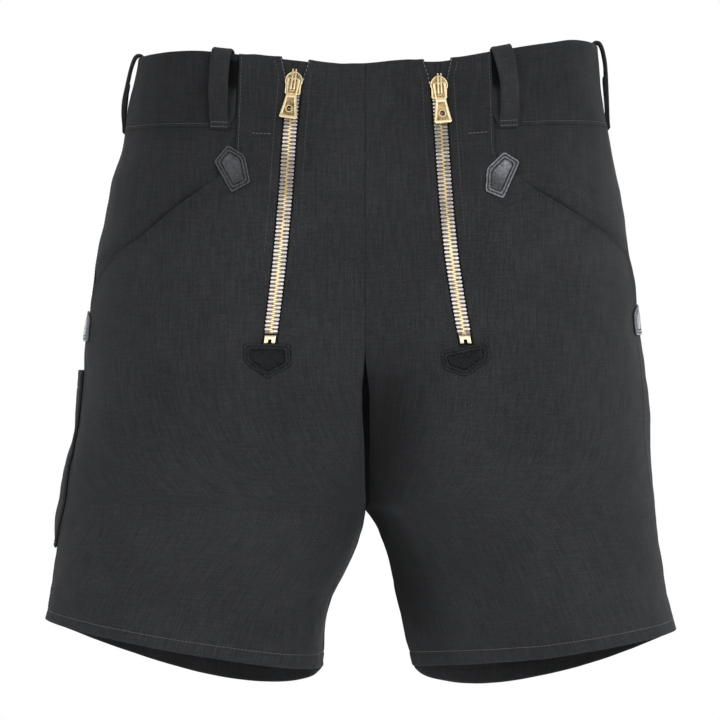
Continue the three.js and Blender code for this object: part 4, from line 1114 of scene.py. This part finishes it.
def patch(kind, side, sewing):
    """A leather patch with a cut edge, two stitched rows and a full middle."""
    half = HALF[side]
    x, middle_at, outline_points = PATCHES[kind][side]
    middle_s = half.s_at_x(middle_at, x) if x else float(half.seam(middle_at))
    corners = np.array(outline_points, float)
    most, slope, in_middle = PAINTED_SHEEN[f"{kind}_{side}"]
    rings, heights, lit_shares, slopes = [], [], [], []
    for distance, height, lit_share in PATCH_PROFILE:
        rings.append(rounded_outline(inset(corners, distance), 2.2))
        heights.append(height)
        lit_shares.append(lit_share * (in_middle if distance > PATCH_ROWS[-1] else 1))
        slopes.append(slope * (distance > PATCH_SLOPE_FROM))
    innermost, centre = rings[-1], rings[-1].mean(0)
    for share in (0.7, 0.4, 0.15):
        rings.append(centre + (innermost - centre) * share)
        heights.append(heights[-1] + DOME[kind] * 0.25)
        lit_shares.append(0.6 * in_middle)
        slopes.append(slope)

    def place(plan, out):
        return half.point(middle_s + plan[:, 0], middle_at - plan[:, 1], out)

    top = [place(ring, LIE + LEATHER + height) for ring, height in zip(rings, heights)]
    bottom = [place(rings[-1], LIE), place(rings[2], LIE + 0.02), place(rings[0], LIE + LEATHER - 0.95)]
    middles = [place(centre[None, :], LIE), place(centre[None, :], LIE + LEATHER + heights[-1])]
    loops, count = bottom + top, len(rings[0])
    faces = ring_faces(len(loops), count)
    low, last = len(loops) * count, (len(loops) - 1) * count
    for k in range(count):
        n = (k + 1) % count
        faces.append((low, n, k))
        faces.append((low + 1, last + k, last + n))
    if side == "right":
        faces = [f[::-1] for f in faces]
    plans = [rings[0]] * 3 + rings + [centre[None, :]] * 2
    lit_shares, slopes = [0] * 3 + lit_shares + [0, lit_shares[-1]], [0] * 3 + slopes + [slope] * 2
    # The painted highlight's lightness at each place, brighter towards one corner.
    lit = [np.clip(1 + tilt * (plan @ np.array([0.04, 0.09])), 0.25, 2) * lit_share * most
           for plan, lit_share, tilt in zip(plans, lit_shares, slopes)]
    thread = np.column_stack([np.concatenate(plans), np.concatenate(lit) / MM])
    for row in PATCH_ROWS:
        line = rounded_outline(inset(corners, row), 1.6)
        line = np.concatenate([line, line[:1]])
        s, at = middle_s + line[:, 0], middle_at - line[:, 1]
        sewing.on_cloth(side, s, at, LIE + LEATHER - 0.18, pitch=2.0, length=1.5, radius=0.24)
    name, points = f"{kind}_{side}_leather", np.concatenate(loops + middles)
    return piece(name, points, faces, HIDES[kind], thread, merge=False)


# Zip chain, slider and pull

def tooth_template():
    """One tooth in its own frame: across to its outer end, along the zip and up, with round edges."""
    half_long = CHAIN["pitch"] * 0.42
    plan = (  # across, half length along the zip, height of the top
        (-0.75, 0.25, 0.78), (-0.35, 0.5, 0.95), (0.3, 0.62, 1.0), (0.9, 0.5, 0.9), (1.4, 0.62, 0.9),
        (2.0, 0.94, 1.0), (3.6, 1.0, 1.0), (4.7, 0.94, 0.95), (CHAIN["half"], 0.7, 0.75),
    )
    ring = ((-1, 0), (-1, 0.72), (-0.72, 1), (0.72, 1), (1, 0.72), (1, 0))
    points = []
    for across, wide, high in plan:
        for u, v in ring:
            top = CHAIN["low"] + (CHAIN["high"] - CHAIN["low"]) * high * v
            points.append((across, u * wide * half_long, top if v else CHAIN["low"]))
    size = len(ring)
    faces = [(a, d, c, b) for a, b, c, d in ring_faces(len(plan), size)]
    faces.append(tuple(range(size)))
    last = (len(plan) - 1) * size
    faces.append(tuple(last + k for k in reversed(range(size))))
    # The outer ends take the brass with the painted highlight.
    pale = [min(f) // size >= 4 for f in faces]
    return np.array(points), faces, pale


def chain(side):
    """Teeth from both tapes, each half a pitch from its neighbours across the zip."""
    half = HALF[side]
    template, template_faces, pale = tooth_template()
    points, faces, slots = [], [], []
    first = SLIDER_AT[side] - CHAIN["above"]
    number = int((ZIP_ENDS - ZIP["stop_length"] - first - 1.6) / CHAIN["pitch"] * 2)
    for k in range(number):
        way = 1 if k % 2 else -1
        at = first + k * CHAIN["pitch"] / 2
        s = float(zip_s(side, at))
        spread_out = 2.2 * max(0.0, 1 - (at - first) / 8)
        across = (template[:, 0] + spread_out) * way
        base = len(points) * len(template)
        points.append(half.point(s + across, at + template[:, 1] * way, template[:, 2]))
        for f, is_highlight in zip(template_faces, pale):
            faces.append([base + q for q in (f if side == "left" else f[::-1])])
            slots.append(int(is_highlight))
    base, rows = len(points) * len(template), np.arange(first + 3, ZIP_ENDS - ZIP["stop_length"] - 1, 2.0)
    ground = half.point(zip_s(side, rows)[:, None] + GROUND[:, 0], rows[:, None], GROUND[:, 1])
    points.append(ground.reshape(-1, 3))
    for i in range(len(rows) - 1):
        for j in range(3):
            quad = [base + (i + a) * 4 + j + b for a, b in ((0, 0), (1, 0), (1, 1), (0, 1))]
            faces.append(quad if side == "left" else quad[::-1])
            # The middle under the teeth takes brass painted as shade, its sides brass painted as the shadow
            # in the gaps.
            slots.append(2 if j == 1 else 3)
    obj = piece(f"zip_chain_{side}_teeth", np.concatenate(points), faces, BRASS, merge=False)
    for material in (HIGHLIGHT_BRASS, SHADED_BRASS, GAP_SHADOW_BRASS):
        obj.data.materials.append(material)
    obj.data.polygons.foreach_set("material_index", slots)
    obj.data.polygons.foreach_set("use_smooth", [False] * len(slots))
    bevel = obj.modifiers.new("edges", "BEVEL")
    bevel.width, bevel.segments, bevel.limit_method = 0.14 * MM, 2, "ANGLE"
    return obj


def zip_stop(side):
    half = HALF[side]
    rows = np.linspace(ZIP_ENDS - ZIP["stop_length"] - 1, ZIP_ENDS - 1.0, 15)
    across = np.linspace(-STOP_HALF, STOP_HALF, 21)
    s = zip_s(side, rows)[:, None] + across
    at = np.broadcast_to(rows[:, None], s.shape)
    edge = np.minimum(STOP_HALF - np.abs(across)[None, :], np.minimum(at - rows[0], rows[-1] - at))
    top = 1.5 - 1.0 * np.clip(1 - edge / 1.2, 0, 1) ** 2 - 0.5 * np.exp(-(across[None, :] / 1.8) ** 2)
    low = np.full(s.shape, CHAIN["low"])
    points = np.concatenate([half.point(s, at, top).reshape(-1, 3), half.point(s, at, low).reshape(-1, 3)])
    keep = np.ones((len(rows) - 1, len(across) - 1), bool)
    keep[7:, 7:-7] = False  # the gap between its two feet
    return piece(f"zip_stop_{side}_metal", points, wall_faces(keep, side == "right"), BRASS)


def zip_frame(side):
    """A frame that stands on the zip at the slider: across it, up along it and out."""
    half, slider_at = HALF[side], SLIDER_AT[side]

    def place(at):
        return Vector(half.point(zip_s(side, at), np.array(at))) * MM

    up = (place(slider_at - 8) - place(slider_at + 8)).normalized()
    facing = Vector(half.normal(zip_s(side, slider_at), np.array(slider_at)))
    across = up.cross(facing).normalized()
    turn = Matrix((across, up, across.cross(up))).transposed().to_4x4()
    turn.translation = place(slider_at)
    return turn


def plate(name, outlines, thick, round_edge, material):
    """A flat plate with round edges. Of the outlines the first is its edge and the rest are holes."""
    data = bpy.data.curves.new(name, "CURVE")
    data.dimensions, data.fill_mode, data.resolution_u = "2D", "BOTH", 6
    data.extrude = max(0.0, thick / 2 - round_edge) * MM
    data.bevel_depth, data.bevel_resolution, data.offset = round_edge * MM, 3, -round_edge * MM
    for points in outlines:
        spline = data.splines.new("POLY")
        spline.points.add(len(points) - 1)
        for target, (x, y) in zip(spline.points, points):
            target.co = (x * MM, y * MM, 0, 1)
        spline.use_cyclic_u = True
    holder = add_object(name, data)
    graph = bpy.context.evaluated_depsgraph_get()
    mesh = bpy.data.meshes.new_from_object(holder.evaluated_get(graph))
    bpy.data.objects.remove(holder)
    bpy.data.curves.remove(data)
    mesh.materials.clear()
    mesh.materials.append(material)
    return mesh


def joined(name, meshes, body):
    """One piece from (mesh, matrix) pairs; each mesh keeps its own material."""
    bm = bmesh.new()
    for mesh, matrix in meshes:
        part = bmesh.new()
        part.from_mesh(mesh)
        for face in part.faces:
            # Pieces of brass painted as shade take the second material.
            face.material_index = int(mesh.materials[0] == SHADED_BRASS)
        part.transform(matrix)
        bmesh.ops.remove_doubles(part, verts=part.verts, dist=0.002 * MM)
        temporary = bpy.data.meshes.new("temporary")
        part.to_mesh(temporary)
        part.free()
        bm.from_mesh(temporary)
        bpy.data.meshes.remove(temporary)
    bmesh.ops.recalc_face_normals(bm, faces=bm.faces)
    mesh = bpy.data.meshes.new(name)
    bm.to_mesh(mesh)
    bm.free()
    obj = add_smooth(name, mesh, (BRASS, SHADED_BRASS), body)
    obj.modifiers.new("edges", "WEIGHTED_NORMAL").keep_sharp = True
    return obj


def arc(x, y, radius, start, end, count=14):
    angles = np.linspace(math.radians(start), math.radians(end), count)
    return [(x + radius * math.cos(a), y + radius * math.sin(a)) for a in angles]


def lifted(mesh, out):
    return mesh, Matrix.Translation((0, 0, out * MM))


def slider_outline(shrink=0.0):
    radius = SLIDER["shoulder"] - shrink
    up, tail, half = SLIDER["middle_up"], SLIDER["tail"] + shrink, SLIDER["tail_half"] - shrink
    top = arc(0, up, radius, -28, 62) + [(1.6, up + radius + 0.5 - shrink * 0.4)]
    top += [(-x, y) for x, y in reversed(top)]
    return [(half, tail)] + top + [(-half, tail)]


def slider(side):
    turn = zip_frame(side) @ Matrix.Rotation(math.radians(SLIDER_LEAN[side]), 4, "Z")
    # The base is brass painted darker as shade, inside the plain brass rim.
    base = plate("base", [slider_outline(0.3)], SLIDER["thick"], 0.35, SHADED_BRASS)
    rim = plate("rim", [slider_outline(), slider_outline(SLIDER["rim"])], 1.1, 0.4, BRASS)
    low, top = SLIDER["low"] + SLIDER["thick"] / 2, SLIDER["crown_top"]
    pieces = [lifted(base, low), lifted(rim, low + 0.75)]
    lip = plate("lip", [[(-0.45, -8.6), (0.45, -8.6), (0.45, -1), (-0.45, -1)]], 3.0, 0.2, BRASS)
    for way in (-1, 1):
        pieces.append((lip, Matrix.Translation((way * 5.62 * MM, 0, 1.0 * MM))))
    up, down = SLIDER["crown_up"], SLIDER["crown_down"]
    foot, inside = SLIDER["low"] + 0.9, top - 1.5
    profile = [
        (down, foot), (down - 0.1, inside), (down + 1.0, top - 0.3), (down + 2.4, top), (up - 3, top),
        (up - 1, top - 0.5), (up, inside - 0.4), (up, foot + 0.6), (up - 1.5, foot),
        (up - 2.0, inside - 0.3), (up - 3.4, inside), (down + 2.6, inside), (down + 1.7, inside - 0.6),
        (down + 1.6, foot),
    ]
    bar = plate("bar", [profile], SLIDER["crown_bar"], 0.35, BRASS)
    stand = Matrix(((0, 0, 1, 0), (1, 0, 0, 0), (0, 1, 0, 0), (0, 0, 0, 1)))
    for way in (-1, 1):
        off = way * (SLIDER["crown_half"] - SLIDER["crown_bar"] / 2)
        pieces.append((bar, Matrix.Translation((off * MM, 0, 0)) @ stand))
    bridge_profile = [(down, foot), (down, inside - 0.4), (down + 1.3, inside - 0.4), (down + 1.3, foot)]
    bridge = plate("bridge", [bridge_profile], 2 * SLIDER["crown_half"] - 0.6, 0.2, BRASS)
    pieces.append((bridge, stand))
    return joined(f"slider_{side}_metal", [(m, turn @ x) for m, x in pieces], BODY)


def pull_tab(side):
    turn = zip_frame(side) @ Matrix.Translation((0, PULL["pivot_up"] * MM, PULL["pivot_out"] * MM))
    turn = turn @ Matrix.Rotation(math.radians(PULL_LEAN[side]), 4, "Z")
    bead_at, slot_half, upper, lower = PULL["bead_at"], PULL["slot_half"], PULL["slot_top"], PULL["slot_end"]
    slot = arc(0, lower, slot_half, 180, 360) + arc(0, upper, slot_half, 0, 60, 4) + [(0.8, -1), (-0.8, -1)]
    slot += arc(0, upper, slot_half, 120, 180, 4)
    outside = list(PULL_EDGE) + [(-x, y) for x, y in reversed(PULL_EDGE)]
    window = [(-x, y) for x, y in PULL_WINDOW] + list(reversed(PULL_WINDOW))
    edge = [(x * 1.12, y + (0.35 if y > -20 else -0.35)) for x, y in window]
    pieces = [(mesh, Matrix()) for mesh in (
        plate("frame", [outside, slot, window], PULL["thick"], 0.5, BRASS),
        # The panel is brass painted darker as shade, inside the frame.
        plate("panel", [edge, arc(0, bead_at, 2.1, 0, 352, 24)], 0.9, 0.2, SHADED_BRASS),
        plate("bead", [arc(0, bead_at, r, 0, 352, n) for r, n in ((2.9, 28), (2.15, 24))], 1.3, 0.3, BRASS),
    )]
    return joined(f"pull_tab_{side}_metal", [(m, turn @ x) for m, x in pieces], f"{side}_pull")


# The whole garment

def replace(obj, node):
    """Hides the CAD node whose place a piece takes."""
    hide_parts(node)


leather_sewing = Sewing("leather_stitches", DULL_THREAD, "leather")
for side in SIDES:
    half = HALF[side]
    for cut, make in (("front", front_panel), ("back", back_panel), ("waistband", waistband),
                      ("hip_yoke", hip_yoke), ("zip_tape", zip_tape), ("zip_guard", zip_guard)):
        replace(make(side), f"{cut}_{side}")
    for kind in PATCHES:
        replace(patch(kind, side, leather_sewing), f"{kind}_{side}")
    for node, make in (("zip_chain", chain), ("zip_stop", zip_stop), ("slider", slider),
                       ("pull_tab", pull_tab)):
        replace(make(side), f"{node}_{side}")
    loop = belt_loop(f"belt_loop_side_{side}_cloth", side, lambda at: float(half.seam(at)), "side")
    replace(loop, f"belt_loop_side_{side}")
    loop = belt_loop(
        f"belt_loop_front_{side}_cloth", side,
        lambda at: half.s_at_x(at, float(curve_through(LOOP_X[side])(at))), "front",
        lambda s, at: sunk(side, s, at),
    )
    replace(loop, f"belt_loop_front_{side}")
loop = belt_loop("belt_loop_back_cloth", "left", lambda at: float(HALF["left"].length(at)), "back")
replace(loop, "belt_loop_back")
replace(rule_pocket(), "rule_pocket")
sew_cloth()
leather_sewing.finish()


# Stage, light and camera

def stage():
    """A plain pale round floor, below the picture's edge."""
    look = new_look("pale_floor")
    look.shade({"Base Color": (0.9, 0.9, 0.9, 1), "Roughness": 0.9, "Specular IOR Level": 0.1})
    bm = bmesh.new()
    bmesh.ops.create_circle(bm, cap_ends=True, segments=96, radius=FLOOR["radius"])
    mesh = bpy.data.meshes.new("floor")
    bm.to_mesh(mesh)
    bm.free()
    mesh.materials.append(look.owner)
    obj = add_object("floor", mesh)
    obj.location.z = FLOOR["z"]


def studio():
    """A white surround that lights the cloth less from in front, and metal and leather in bands."""
    graph = Graph(bpy.data.worlds.new("studio"))
    place = graph.add("TexCoord").outputs["Generated"]
    along = graph.add("VectorMath", {0: place, 1: WORLD_TURN}, operation="DOT_PRODUCT").outputs["Value"]
    shown = []
    for value, rows in ((along, WORLD_LIGHT), (graph.third(place), REFLECTED)):
        share = graph.add("MapRange", {"From Min": -1, "Value": value}).outputs["Result"]
        shown.append(graph.stops(share, rows))
    path = graph.add("LightPath").outputs
    lit = graph.blend(path["Is Glossy Ray"], *shown)
    graph.fill(graph.nodes["Background"], {"Color": graph.blend(path["Is Camera Ray"], lit, (1, 1, 1, 1))})
    return graph.owner


def lights():
    for row in LIGHTS:
        data = bpy.data.lights.new(row["name"], "AREA")
        data.shape, data.size, data.energy = "DISK", row["size"], row["power"]
        obj = add_object(row["name"], data)
        obj.location = row["place"]
        obj.visible_glossy = False
        obj.rotation_euler = (Vector(row["aim"]) - Vector(row["place"])).to_track_quat("-Z", "Y").to_euler()
    bpy.context.scene.world = studio()


def camera():
    data = bpy.data.cameras.new("camera")
    data.sensor_width = PHOTO["sensor"]
    data.lens = PHOTO["sensor"] * PHOTO["distance"] / PHOTO["width"]
    data.clip_end = 100
    obj = add_object("camera", data)
    x, z = PHOTO["middle"]
    obj.location = (x * MM, -PHOTO["distance"] * MM, z * MM)
    obj.rotation_euler = (math.pi / 2, 0, 0)
    bpy.context.scene.camera = obj


stage()
lights()
camera()
bpy.context.scene.view_settings.view_transform = "Standard"
